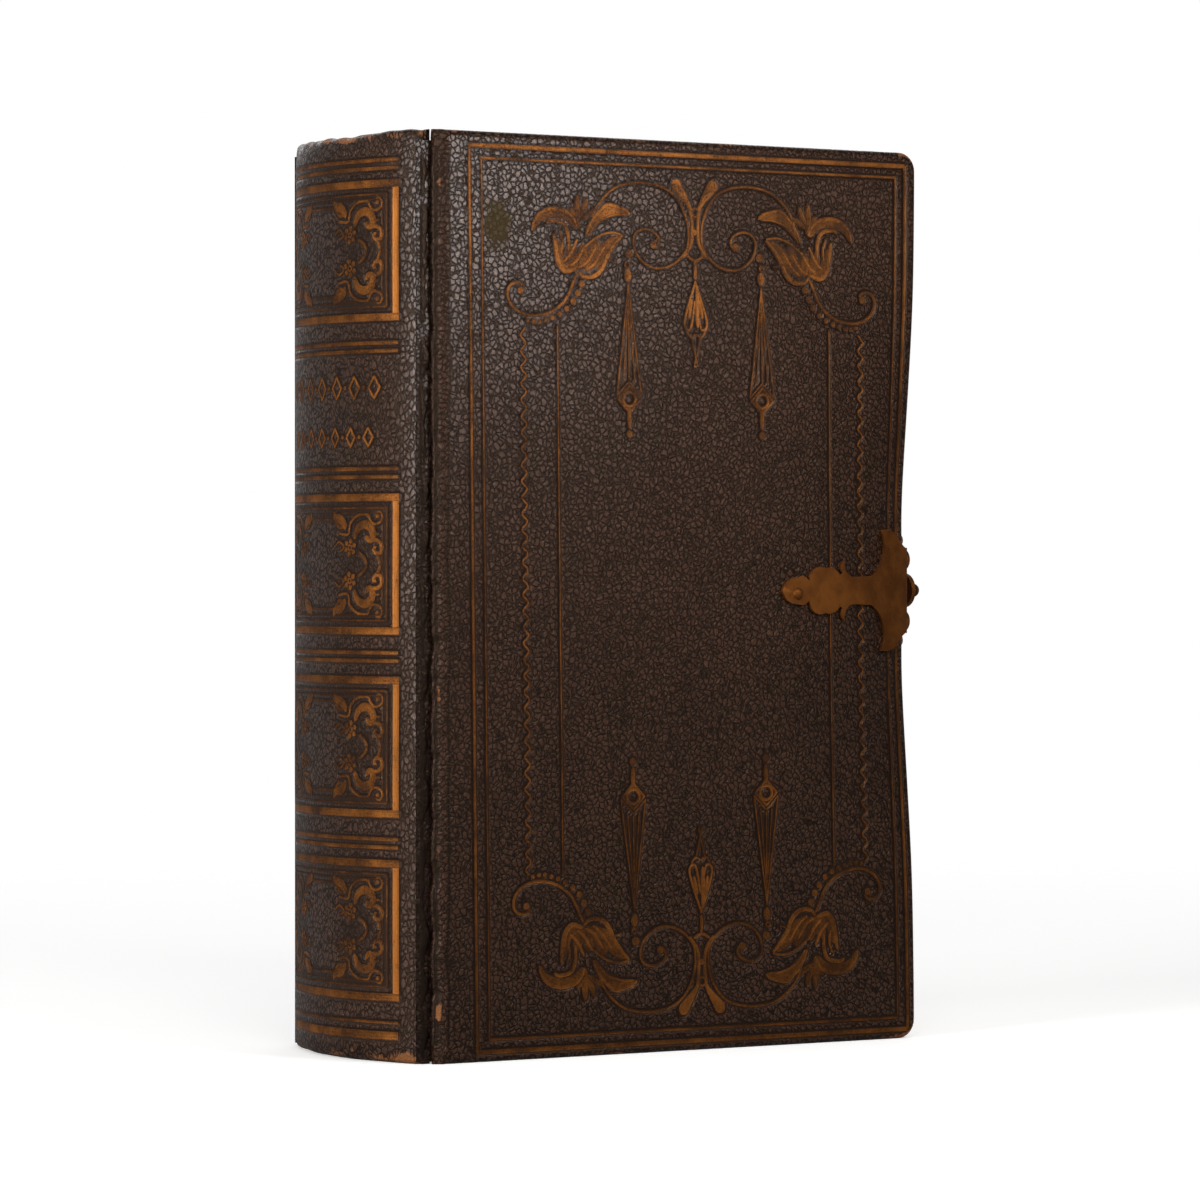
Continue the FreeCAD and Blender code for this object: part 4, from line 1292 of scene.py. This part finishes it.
@dataclass
class Cover:
    """One cover: its leather, gilt and joint, drawn as the front one."""

    book: Book
    side: Side
    tooling: list[Tooling]
    step: float = 0.36
    rim: float = 2.5
    corner_wear: float = 9.0
    shoulder_at: float = 0.8
    crease_at: float = 2.15
    stain_at: tuple[float, float] = (9.3, 108.0)

    @property
    def mirrored(self) -> bool:
        """True for the back cover."""
        return self.side is Side.BACK

    def press(self, x: Array, z: Array) -> Array:
        """Distance to the nearest tooled line."""
        return np.min([tooling.distance(x, z) for tooling in self.tooling], axis=0)

    def wear(self, x: Array, z: Array, inset: Array, depth: Array) -> Array:
        """How rubbed the leather is: at the board's edges, its corners and the joint's shoulder.

        Args:
            x: Distances from the front joint line.
            z: Heights.
            inset: Distances in from the board's edge.
            depth: Depths below the outer face.

        Returns:
            Values from 0, whole, to 1, rubbed bare.
        """
        edge = smooth(1.3, 0.0, inset) * smooth(3.4, 0.6, depth)
        ends = np.minimum(z, self.book.height - z)
        corner = smooth(self.corner_wear, 0.0, np.hypot(self.book.cover_width - x, ends))
        streak = smooth(0.6, 1.3, ripple(x * 0.6, z, 5.0, 23)) + 0.25
        shoulder = smooth(0.6, 0.1, np.abs(x - self.shoulder_at)) * streak * smooth(0.0, 5.0, ends)
        uneven = 0.5 + 0.35 * ripple(x, z, 9.0, 21)
        return (edge * (0.62 + 0.4 * corner) + shoulder) * uneven + edge * corner * 0.3

    def grime(self, x: Array, z: Array) -> Array:
        """How dark the leather is painted: shade in the joint's valley at its torn edge and in a crease
        beside it, with some dirt.

        Args:
            x: Distances from the front joint line.
            z: Heights.

        Returns:
            Values from 0, no painted shade or dirt, to 1, black.
        """
        # Painted shade, with some dirt, in the joint's valley and along the crease beside it.
        bent = self.crease_at + 0.15 * ripple(z, z * 0, 11.0, 27)
        crease = smooth(0.45, 0.05, np.abs(x - bent))
        return np.maximum(smooth(1.1, 0.7, x), 0.9 * crease)

    def stain(self, x: Array, z: Array) -> Array:
        """How much of an old olive stain lies on the front cover, near its upper inner corner.

        Args:
            x: Distances from the front joint line.
            z: Heights.

        Returns:
            Values from 0 to 1.
        """
        middle_x, middle_z = self.stain_at
        away = np.hypot(x - middle_x, (z - middle_z) * 0.62) + 0.3 * ripple(x, z, 2.6, 29)
        return (0.0 if self.mirrored else 0.9) * smooth(2.5, 1.3, away)

    def inner_depth(self, x: Array) -> Array:
        """Depth of the leather's inner side: the board's inside, and the thin flap at the joint.

        Args:
            x: Distances from the joint line.

        Returns:
            Depths in millimetres.
        """
        flap = self.book.joint_depth + self.book.joint_leather
        return flap + (self.book.cover_thickness - flap) * smooth(1.3, 2.1, x)

    def section(self) -> tuple[Array, Array]:
        """Section of the rim as distances in from the edge and depths below the outer face.

        Returns:
            Distances and depths, from the outer face round to the inside.
        """
        book = self.book
        turn = np.linspace(0, math.pi / 2, 7)
        small = np.linspace(0, math.pi / 2, 4)
        inset = stitched(np.linspace(self.rim, book.outer_edge, 6),
                         book.outer_edge * (1 - np.sin(turn)), np.zeros(5),
                         book.inner_edge * (1 - np.cos(small)),
                         np.linspace(book.inner_edge, self.rim, 4))
        foot = book.cover_thickness - book.inner_edge
        depth = stitched(np.zeros(6), book.outer_edge * (1 - np.cos(turn)),
                         np.linspace(book.outer_edge, foot, 5),
                         foot + book.inner_edge * np.sin(small),
                         np.full(4, book.cover_thickness))
        return inset, depth

    def along(self, xs: Array, zs: Array) -> tuple[Array, Array, Array, Array]:
        """Run round the rim from the joint's foot to its head: places and outward directions.

        Args:
            xs: Distances from the joint line along the ends.
            zs: Heights along the fore-edge.

        Returns:
            Places and outward directions, each as values of x and of z.
        """
        book = self.book
        fore, low, high = book.cover_width - self.rim, self.rim, book.height - self.rim
        turn = np.linspace(0, math.pi / 2, 9)
        x = stitched(xs, np.full(9, fore), np.full(len(zs), fore), np.full(9, fore), xs[::-1])
        z = stitched(np.full(len(xs), low), np.full(9, low), zs, np.full(9, high),
                     np.full(len(xs), high))
        out_x = stitched(np.zeros(len(xs)), np.sin(turn), np.ones(len(zs)), np.cos(turn),
                         np.zeros(len(xs)))
        out_z = stitched(np.full(len(xs), -1.0), -np.cos(turn), np.zeros(len(zs)), np.sin(turn),
                         np.ones(len(xs)))
        return x, z, out_x, out_z

    def flare(self, points: Array) -> Array:
        """Opens the crack of the joint into a notch at the head.

        Args:
            points: Points of the skin.

        Returns:
            The points, drawn away from the crack where it is worn open.
        """
        x, z = points[..., 0], points[..., 2]
        share = np.clip(1 - x / self.book.joint_shoulder, 0, 1)
        notch = 0.3 + 0.1 * smooth(117.0, 120.0, z) + 0.1 * smooth(1.5, 0.0, z)
        seed = 30 if self.mirrored else 31
        rag = 0.13 * ripple(z, z * 0, 5.0, seed) + 0.07 * ripple(z, z * 0, 1.5, seed + 5)
        moved_x = x + share * np.clip(notch + rag, 0.05, 1.1)
        return np.stack([moved_x, points[..., 1], z], axis=-1)

    def leather(self, material: bpy.types.Material) -> bpy.types.Object:
        """Leather of the cover as one skin.

        The middle is a grid over x and z on the outer face. The rim is the section carried
        round the outline. The turn-ins are a flat frame inside, and a strip closes the joint.

        Args:
            material: Finish of the leather.

        Returns:
            The skin.
        """
        book, face = self.book, CoverFace(self.book)
        work = Patchwork(book)
        start = book.joint_crack / 2
        fore, low, high = book.cover_width - self.rim, self.rim, book.height - self.rim
        xs = stitched(spread(start, book.joint_shoulder, 0.2),
                      spread(book.joint_shoulder, fore, self.step))
        zs = spread(low, high, self.step)
        grid_x, grid_z = np.meshgrid(xs, zs)
        middle_wear = self.wear(grid_x, grid_z, np.full(grid_x.shape, 9.0), grid_x * 0)
        work.grid(self.flare(face.point(grid_x, grid_z)), press=self.press(grid_x, grid_z),
                  wear=middle_wear, grime=self.grime(grid_x, grid_z),
                  stain=self.stain(grid_x, grid_z))
        x, z, out_x, out_z = self.along(xs, zs)
        inset, depth = self.section()
        reach = self.rim - inset
        rim_x = x[:, None] + out_x[:, None] * reach
        rim_z = z[:, None] + out_z[:, None] * reach
        outer = face.depth(rim_x, rim_z)
        inner = self.inner_depth(rim_x) + book.bow(rim_x, rim_z)
        rim_y = outer + (inner - outer) * depth / book.cover_thickness
        press = np.where(depth < 0.3, self.press(rim_x, rim_z), 1.6)
        rim = np.stack([rim_x, rim_y, rim_z], axis=-1)
        work.grid(self.flare(rim), press=press,
                  wear=self.wear(rim_x, rim_z, np.broadcast_to(inset, rim_x.shape),
                                 np.broadcast_to(depth, rim_x.shape)))
        self.inside(work, xs, zs)
        end_z = stitched(np.linspace(0, low, 5), zs, np.linspace(high, book.height, 5))
        edge = face.point(np.full(len(end_z), start), end_z)
        back = edge.copy()
        back[:, 1] = self.inner_depth(np.array(start))
        wall = np.stack([edge, (edge + back) / 2, back], axis=1)
        work.grid(self.flare(wall), flip=True, press=1.6, wear=0.35)
        return work.build(f"{self.side.value}_cover_skin", material, mirrored=self.mirrored)

    def inside(self, work: Patchwork, xs: Array, zs: Array) -> None:
        """Adds the turned-in leather on the inside, a frame round the paper.

        Args:
            work: Patchwork that the frame is added to.
            xs: Distances from the joint line.
            zs: Heights.
        """
        book = self.book
        window = book.cover_width - book.turn_in
        line_x = np.unique(np.concatenate([xs, [window]]))
        line_z = np.unique(np.concatenate([zs, [book.turn_in, book.height - book.turn_in]]))
        x, z = np.meshgrid(line_x, line_z)
        y = self.inner_depth(x) + book.bow(x, z)
        middle_x = (x[:-1, :-1] + x[1:, 1:]) / 2
        middle_z = (z[:-1, :-1] + z[1:, 1:]) / 2
        ends = (middle_z < book.turn_in) | (middle_z > book.height - book.turn_in)
        keep = ends | (middle_x > window) | (middle_x < book.joint_board_edge)
        work.grid(self.flare(np.stack([x, y, z], axis=-1)), flip=True, keep=keep, press=1.6,
                  wear=0.05)

    def make(self, leather: bpy.types.Material, gilt: bpy.types.Material) -> None:
        """Builds the cover's leather and gilt and hangs them on the cover's body.

        Args:
            leather: Finish of the skin.
            gilt: Finish of the gold.
        """
        skin = self.leather(leather)
        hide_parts(f"{self.side.value}_cover_leather")
        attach(skin, f"{self.side.value}_cover")
        for number, tooling in enumerate(self.tooling):
            leaf = tooling.leaf(self.book, CoverFace(self.book), f"{self.side.value}_gilt_{number}",
                                gilt, self.mirrored)
            if number == 0:
                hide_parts(f"{self.side.value}_gilding")
            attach(leaf, f"{self.side.value}_cover")
        log.info("%s cover: %d faces", self.side.value, len(skin.data.polygons))


@dataclass
class Spine:
    """Leather and gilt of the spine, with worn caps at head and tail."""

    book: Book
    tooling: Tooling
    step: float = 0.36
    thick: float = 0.8
    cap_thick: float = 1.7
    cap_half: float = 13.0
    cap_reach: float = 12.0
    cap_edge: float = 0.55

    def thickness(self, u: Array) -> Array:
        """Thickness at the ends, where the leather is folded over the card."""
        return self.thick + (self.cap_thick - self.thick) * smooth(15.5, self.cap_half, np.abs(u))

    def section(self) -> tuple[Array, Array]:
        """Outer section of the skin from foot to head, rounded off at both ends.

        Returns:
            How far its points lie in from the outer face, and their heights.
        """
        ease, height = self.cap_edge, self.book.height
        turn = np.linspace(0, math.pi / 2, 6)
        outer_z = spread(ease, height - ease, self.step)
        head_in, head_z = ease * (1 - np.cos(turn)), height - ease * (1 - np.sin(turn))
        inset = np.concatenate([head_in[::-1][:-1], stitched(np.zeros(len(outer_z)), head_in)])
        z = np.concatenate([height - head_z[::-1][:-1], stitched(outer_z, head_z)])
        return inset, z

    def inner(self, face: SpineFace, us: Array) -> Array:
        """Inner side of the skin, thicker at both ends where the leather is folded in.

        Args:
            face: The spine's outer face.
            us: Distances round the spine.

        Returns:
            Rows of points from foot to head.
        """
        height, reach, ease = self.book.height, self.cap_reach, self.cap_edge
        thick, middle = self.thickness(us), np.full(len(us), self.book.height / 2)
        rows = [(0.0, ease), (0.0, None), (reach, None), (reach + 0.6, self.thick),
                (height - reach - 0.6, self.thick), (height - reach, None), (height, None),
                (height, ease)]
        made = []
        for row_z, inward in rows:
            depth = thick if inward is None else np.full(len(us), inward)
            if inward == ease:
                made.append(face.point(us, np.full(len(us), row_z), -depth))
                continue
            level = face.point(us, middle, -depth)
            level[:, 2] = row_z - face.drop(us, row_z)
            made.append(level)
        return np.stack(made)

    def leather(self, material: bpy.types.Material) -> bpy.types.Object:
        """Skin of the spine: its section in depth and height, carried round from joint to joint.

        Args:
            material: Finish of the leather.

        Returns:
            The skin, with both sides, both ends and a wall at each joint.
        """
        face, half = SpineFace(self.book), self.book.spine_half
        us = spread(-half, half, self.step)
        inset, z = self.section()
        u, flat_z = np.meshgrid(us, z)
        depth = np.broadcast_to(inset[:, None], u.shape)
        press = np.where(depth < 0.2, self.tooling.distance(u, flat_z), 1.6)
        work = Patchwork(self.book)
        work.grid(face.point(u, flat_z, -depth), press=press, wear=self.wear(u, flat_z),
                  grime=self.grime(u, flat_z))
        work.grid(self.inner(face, us), flip=True, press=1.6, wear=0.2)
        for edge in (-half, half):
            ends = np.full(len(z), edge)
            front = face.point(ends, z, -np.minimum(inset, self.thick))
            back = face.point(ends, np.full(len(z), self.book.height / 2), -self.thick)
            back[:, 2] = z - face.drop(ends, z)
            work.grid(np.stack([front, back], axis=1), flip=edge < 0, press=1.6, wear=0.3)
        return work.build("spine_skin", material, crease=70.0)

    def grime(self, u: Array, z: Array) -> Array:
        """How dark the spine is: painted shade, with some dirt, in the joints' valleys, and darker on
        the pressed ground of the ornaments away from the middle.

        Args:
            u: Distances round the spine from its middle.
            z: Heights.

        Returns:
            Values from 0, not darkened, to 1, black.
        """
        # Painted shade, with some dirt, in the valley at each joint; inside the panels the ground is
        # darker away from the middle.
        joint = smooth(self.book.spine_half - 2.3, self.book.spine_half - 1.4, np.abs(u))
        ground = smooth(4.0, 5.5, np.abs(u)) * smooth(13.6, 13.2, np.abs(u))
        inside = np.zeros(u.shape)
        for top in SpineDesign.panel_tops:
            inside = np.maximum(inside, smooth(top - 0.9, top - 1.4, z)
                                * smooth(top - 17.3, top - 16.8, z))
        return np.maximum(joint, 0.6 * ground * inside)

    def wear(self, u: Array, z: Array) -> Array:
        """How rubbed the spine is: at the caps, along the joints and on its middle.

        Args:
            u: Distances round the spine from its middle.
            z: Heights.

        Returns:
            Values from 0, whole, to 1, rubbed bare.
        """
        end = np.minimum(z, self.book.height - z)
        cap = smooth(2.4, 0.2, end) * (0.5 + 0.3 * ripple(u, z, 4.0, 40))
        joint = smooth(1.6, 0.0, np.abs(np.abs(u) - 18.6)) * 0.16
        return cap + joint + 0.04 * ripple(u, z, 14.0, 41)

    def make(self, leather: bpy.types.Material, gilt: bpy.types.Material) -> None:
        """Builds the spine's leather and gilt and hangs them on the book's block.

        Args:
            leather: Finish of the skin.
            gilt: Finish of the gold.
        """
        skin = self.leather(leather)
        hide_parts("spine_leather")
        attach(skin, "book_block")
        leaf = self.tooling.leaf(self.book, SpineFace(self.book), "spine_gilt", gilt)
        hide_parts("spine_gilding")
        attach(leaf, "book_block")
        log.info("spine: %d faces", len(skin.data.polygons))


@dataclass
class Joints:
    """Hidden strips that carry the covers: leather under the crack, darkened as painted shade, and
    paper inside.
    """

    book: Book
    leather_plan: Points = ((-1.6, 1.75), (-0.5, 1.72), (0.5, 1.72), (1.6, 1.75))
    leather_low: float = 0.3
    leather_high: float = 118.6
    paper_plan: Points = ((0.9, 2.75), (1.3, 2.9), (1.75, 3.1), (2.2, 3.22))
    paper_low: float = 2.2
    paper_high: float = 117.8
    strip_thickness: float = 0.12
    columns: int = 24

    def strip(self, name: str, plan: Points, low: float, high: float,
              material: bpy.types.Material, back: bool) -> bpy.types.Object:
        """A thin strip along the joint, from its plan points, with both of its sides.

        Args:
            name: Name of the object.
            plan: Its section as x and y.
            low: Its foot.
            high: Its head.
            material: Its finish.
            back: True at the back joint.

        Returns:
            The strip.
        """
        points = np.array(plan, float)
        share = np.linspace(0, len(points) - 1, self.columns)
        x = np.interp(share, np.arange(len(points)), points[:, 0])
        y = np.interp(share, np.arange(len(points)), points[:, 1])
        z = spread(low, high, 2.0)
        work = Patchwork(self.book)
        for lift, flip in ((0.0, False), (self.strip_thickness, True)):
            sheet = np.stack(np.broadcast_arrays(x[:, None], y[:, None] + lift, z), axis=-1)
            work.grid(sheet, flip=not flip, press=1.6, wear=0.0)
        return work.build(name, material, mirrored=back)

    def make(self, dark: bpy.types.Material, paper: bpy.types.Material) -> None:
        """Builds the strips of both joints.

        Args:
            dark: Finish of the leather strips, darkened as painted shade of the crack.
            paper: Finish of the paper strips.
        """
        for side in Side:
            back = side is Side.BACK
            leather = self.strip(f"{side.value}_joint_leather", self.leather_plan,
                                 self.leather_low, self.leather_high, dark, back)
            hinge = self.strip(f"{side.value}_joint_paper", self.paper_plan,
                               self.paper_low, self.paper_high, paper, back)
            y = self.book.thickness if back else 0.0
            for piece, slot, start, end in ((leather, "morocco", -0.9, 1.0),
                                            (hinge, "endpaper", 2.1, 1.0)):
                ends = [Vector(self.book.metres(np.array([x, y, self.book.height / 2])))
                        for x in (start, end)]
                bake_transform(piece)
            log.info("%s joint: two strips", side.value)


@dataclass
class Studio:
    """Camera, lamps, backdrop and floor; the camera's place is in the working frame."""

    book: Book
    sensor: float = 36.0
    lens: float = 155.72
    camera_place: tuple[float, float, float] = (-329.6, -577.5, 63.16)
    camera_way: tuple[float, float, float] = (0.5232, 0.8522, 0.0)
    camera_pitch: float = 0.306
    soft_light: float = 0.36
    backdrop: tuple[float, float] = (0.02, 0.4)
    floor_half: float = 3.0

    def camera(self) -> None:
        """Camera fitted to the corners of the covers in the photograph."""
        data = bpy.data.cameras.new("camera")
        data.sensor_width = self.sensor
        data.lens = self.lens
        data.clip_start = 0.05
        data.clip_end = 10.0
        camera = bpy.data.objects.new("camera", data)
        bpy.context.scene.collection.objects.link(camera)
        place = self.book.metres(np.array(self.camera_place))
        pitch = math.radians(self.camera_pitch)
        flat = Vector(self.camera_way).normalized()
        ahead = Vector((flat.x * math.cos(pitch), flat.y * math.cos(pitch), -math.sin(pitch)))
        right = ahead.cross(Vector((0, 0, 1))).normalized()
        up = right.cross(ahead)
        turn = Matrix((right, up, -ahead)).transposed().to_4x4()
        camera.matrix_world = Matrix.Translation(Vector(place)) @ turn
        bpy.context.scene.camera = camera

    def lamp(self, name: str, place: Sequence[float], target: Sequence[float], size: float,
             power: float, colour: Colour = (1.0, 1.0, 1.0)) -> None:
        """A square soft lamp that looks at a target; its power is in watts.

        Args:
            name: Name of the lamp.
            place: Where it hangs, in metres.
            target: What it looks at.
            size: Side of its square in metres.
            power: Its power in watts.
            colour: Its colour.
        """
        data = bpy.data.lights.new(name, "AREA")
        data.size = size
        data.energy = power
        data.color = colour
        lamp = bpy.data.objects.new(name, data)
        bpy.context.scene.collection.objects.link(lamp)
        away = Vector(place) - Vector(target)
        lamp.rotation_euler = away.to_track_quat("Z", "Y").to_euler()
        lamp.location = place

    def world(self) -> None:
        """White for the camera, a dim backdrop for reflections, and soft light for the rest.

        The backdrop brightens in a straight line with the y of the direction that is looked in.
        """
        nodes = Nodes(bpy.data.worlds.new("studio"))
        bpy.context.scene.world = nodes.owner
        towards = nodes.node("ShaderNodeTexCoord", out="Generated")
        ahead = nodes.node("ShaderNodeSeparateXYZ", {}, {0: towards}, out="Y")
        dim, bright = self.backdrop
        backdrop = nodes.node("ShaderNodeMapRange", {}, {
            "Value": ahead, "From Min": -0.1, "From Max": 0.6, "To Min": dim, "To Max": bright})
        glossy, through, camera = (nodes.node("ShaderNodeLightPath", out=f"Is {kind} Ray")
                                   for kind in ("Glossy", "Transmission", "Camera"))
        soft, seen, plain = (
            nodes.node("ShaderNodeBackground", {}, {"Color": (1.0, 1.0, 1.0), "Strength": strength})
            for strength in (self.soft_light, backdrop, 1.0))
        lit = nodes.node("ShaderNodeMixShader", {}, {0: glossy.most(through), 1: soft, 2: seen})
        nodes.show(nodes.node("ShaderNodeMixShader", {}, {0: camera, 1: lit, 2: plain}))

    def floor(self) -> None:
        """Plain pale floor."""
        nodes = Nodes(bpy.data.materials.new("floor_pale"))
        where = nodes.place()
        length = nodes.node("ShaderNodeVectorMath", {"operation": "LENGTH"}, {0: where},
                            out="Value")
        seen = nodes.node("ShaderNodeLightPath", out="Is Camera Ray")
        far = length.step(0.12, 0.5) * seen
        tone = nodes.mix(seen, (0.32, 0.32, 0.32), (0.9, 0.9, 0.9))
        glow = nodes.node("ShaderNodeEmission", {}, {"Color": (1.0, 1.0, 1.0), "Strength": 1.0})
        lit = nodes.node("ShaderNodeMix", {"data_type": "RGBA"},
                         {0: seen, 6: (0.0, 0.0, 0.0), 7: (0.34, 0.34, 0.34)}, out=2)
        shader = nodes.node("ShaderNodeBsdfPrincipled", {}, {
            "Base Color": tone, "Roughness": 0.9, "Specular IOR Level": 0.0,
            "Emission Color": lit, "Emission Strength": 1.0})
        mixed = nodes.node("ShaderNodeMixShader", {}, {0: far, 1: shader, 2: glow})
        nodes.show(mixed)
        mesh = bpy.data.meshes.new("floor")
        half = self.floor_half
        corners = [(-half, -half, 0), (half, -half, 0), (half, half, 0), (-half, half, 0)]
        mesh.from_pydata(corners, [], [(0, 1, 2, 3)])
        mesh.materials.append(nodes.owner)
        floor = bpy.data.objects.new("floor", mesh)
        bpy.context.scene.collection.objects.link(floor)

    def make(self) -> None:
        """Sets up the whole studio."""
        scene = bpy.context.scene
        scene.view_settings.view_transform = "Standard"
        self.camera()
        self.world()
        self.floor()
        aim = (0.0, 0.0, 0.06)
        self.lamp("left_soft", (-0.55, -0.16, 0.16), (-0.04, -0.01, 0.07), 0.2, 2.3)
        self.lamp("front_soft", (-0.34, -0.66, 0.5), aim, 0.4, 1.7, (1.0, 0.97, 0.93))
        self.lamp("sheen", (0.037, -0.15, 0.125), (-0.034, -0.018, 0.11), 0.045, 0.13)
        self.lamp("back_fill", (0.4, 0.8, 0.6), aim, 0.8, 3.0)


@dataclass
class Metalwork:
    """Brass pieces as copies of the CAD ones, with worn edges; the hasp's tongue stands out."""

    book: Book
    edge: float = 0.00011
    lean: float = 0.45
    lean_from: float = 9.0
    lean_to: float = 4.0
    merge: float = 2e-6
    sharp: float = 35.0
    bevelled: float = 50.0

    def copy(self, node: bpy.types.Object, material: bpy.types.Material,
             body: str) -> bpy.types.Object:
        """Merged and bevelled copy of a node, which it takes the place of.

        Args:
            node: The CAD node.
            material: Its finish.
            body: Body that it rides on.

        Returns:
            The copy.
        """
        mesh = node.data.copy()
        work = bmesh.new()
        work.from_mesh(mesh)
        bmesh.ops.remove_doubles(work, verts=work.verts, dist=self.merge)
        work.to_mesh(mesh)
        work.free()
        count = len(mesh.vertices)
        points = np.empty(count * 3, np.float32)
        mesh.vertices.foreach_get("co", points)
        points = points.reshape(-1, 3)
        if body == "hasp":
            depth = points[:, 1] * 1000 + self.book.thickness / 2
            points[:, 0] += 0.001 * self.lean * smooth(self.lean_from, self.lean_to, depth)
            mesh.vertices.foreach_set("co", points.ravel())
        mesh.polygons.foreach_set("use_smooth", np.ones(len(mesh.polygons), bool))
        mesh.set_sharp_from_angle(angle=math.radians(self.sharp))
        mesh.materials.clear()
        mesh.materials.append(material)
        piece = bpy.data.objects.new(f"{node.name}_worn", mesh)
        bpy.context.scene.collection.objects.link(piece)
        bevel = piece.modifiers.new("edge", "BEVEL")
        bevel.width = self.edge
        bevel.segments = 2
        bevel.limit_method = "ANGLE"
        bevel.angle_limit = math.radians(self.bevelled)
        bevel.harden_normals = True
        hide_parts(node.name)
        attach(piece, body)
        return piece

    def make(self, nodes: dict[str, bpy.types.Object], plate: bpy.types.Material,
             tongue: bpy.types.Material) -> None:
        """Copies every brass piece.

        Args:
            nodes: The CAD nodes by name.
            plate: Finish of the plates and rivets.
            tongue: Finish of the hasp and its knob.
        """
        for side in Side:
            for piece in ("clasp_plate", "clasp_rivet"):
                self.copy(nodes[f"{side.value}_{piece}"], plate, f"{side.value}_cover")
        for name in ("hasp", "hasp_knob"):
            self.copy(nodes[name], tongue, "hasp")
        log.info("clasp: plates, rivets, hasp and knob")


def dress(nodes: dict[str, bpy.types.Object], plate: bpy.types.Material,
          tongue: bpy.types.Material) -> None:
    """Gives the CAD nodes that stay shown their finishes, by a word in their names.

    Args:
        nodes: The CAD nodes by name.
        plate: Finish of the clasp's plates.
        tongue: Finish of the hasp and its pin.
    """
    finishes = {
        "text_block": Paper(leaves=True).material("leaves_aged"),
        "flyleaf": Paper((0.68, 0.57, 0.41), (0.50, 0.37, 0.22)).material("flyleaf_aged"),
        "pastedown": Paper((0.66, 0.55, 0.39), (0.48, 0.35, 0.21)).material("endpaper_aged"),
        "cords": Fibre((0.42, 0.33, 0.2), (0.22, 0.15, 0.08)).material("hemp_cord"),
        "lining": Fibre((0.48, 0.4, 0.28), (0.3, 0.23, 0.14)).material("mull_glued"),
        "band": Fibre((0.45, 0.3, 0.14), (0.2, 0.07, 0.04), 900.0).material("silk_band"),
        "inlay": Fibre((0.33, 0.26, 0.17), (0.2, 0.15, 0.09)).material("card_inlay"),
        "board": Fibre((0.36, 0.29, 0.2), (0.22, 0.17, 0.11)).material("board_grey"),
        "clasp": plate,
        "hasp": tongue,
    }
    for name, node in nodes.items():
        finish = next((made for key, made in finishes.items() if key in name), None)
        if finish is None:
            continue
        node.data.materials.clear()
        node.data.materials.append(finish)


def main() -> None:
    """Builds every piece of the scene in order."""
    logging.basicConfig(level=logging.INFO, format="%(message)s")
    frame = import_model()
    book = Book()
    studio = Studio(book)
    studio.make()
    leather = Morocco().material("morocco_brown")
    spine_leather = Morocco(stretch=(1.0, 1.0, 0.7), pebble=0.00064).material("morocco_spine")
    gilt = Gilt().material("gilt_worn")
    spine_gilt = Gilt(gold=(0.34, 0.118, 0.022)).material("gilt_spine")
    design = CoverDesign()
    Cover(book, Side.FRONT, [design.border(), design.plate()]).make(leather, gilt)
    Cover(book, Side.BACK, [design.border()], step=0.7).make(leather, gilt)
    Spine(book, SpineDesign().tooling()).make(spine_leather, spine_gilt)
    # The joint leather is far darker than the covers': painted shade inside the joints' cracks.
    dark = Morocco(brown=(0.012, 0.0055, 0.0035), warm=(0.02, 0.009, 0.005)).material("joint_shade_dark")
    Joints(book).make(dark, Paper().material("joint_paper"))
    plate = Brass().material("brass_plate")
    tongue = Brass(brown=(0.1, 0.036, 0.01)).material("brass_hasp")
    Metalwork(book).make(frame["nodes"], plate, tongue)
    dress(frame["nodes"], plate, tongue)


if __name__ == "__main__":
    main()
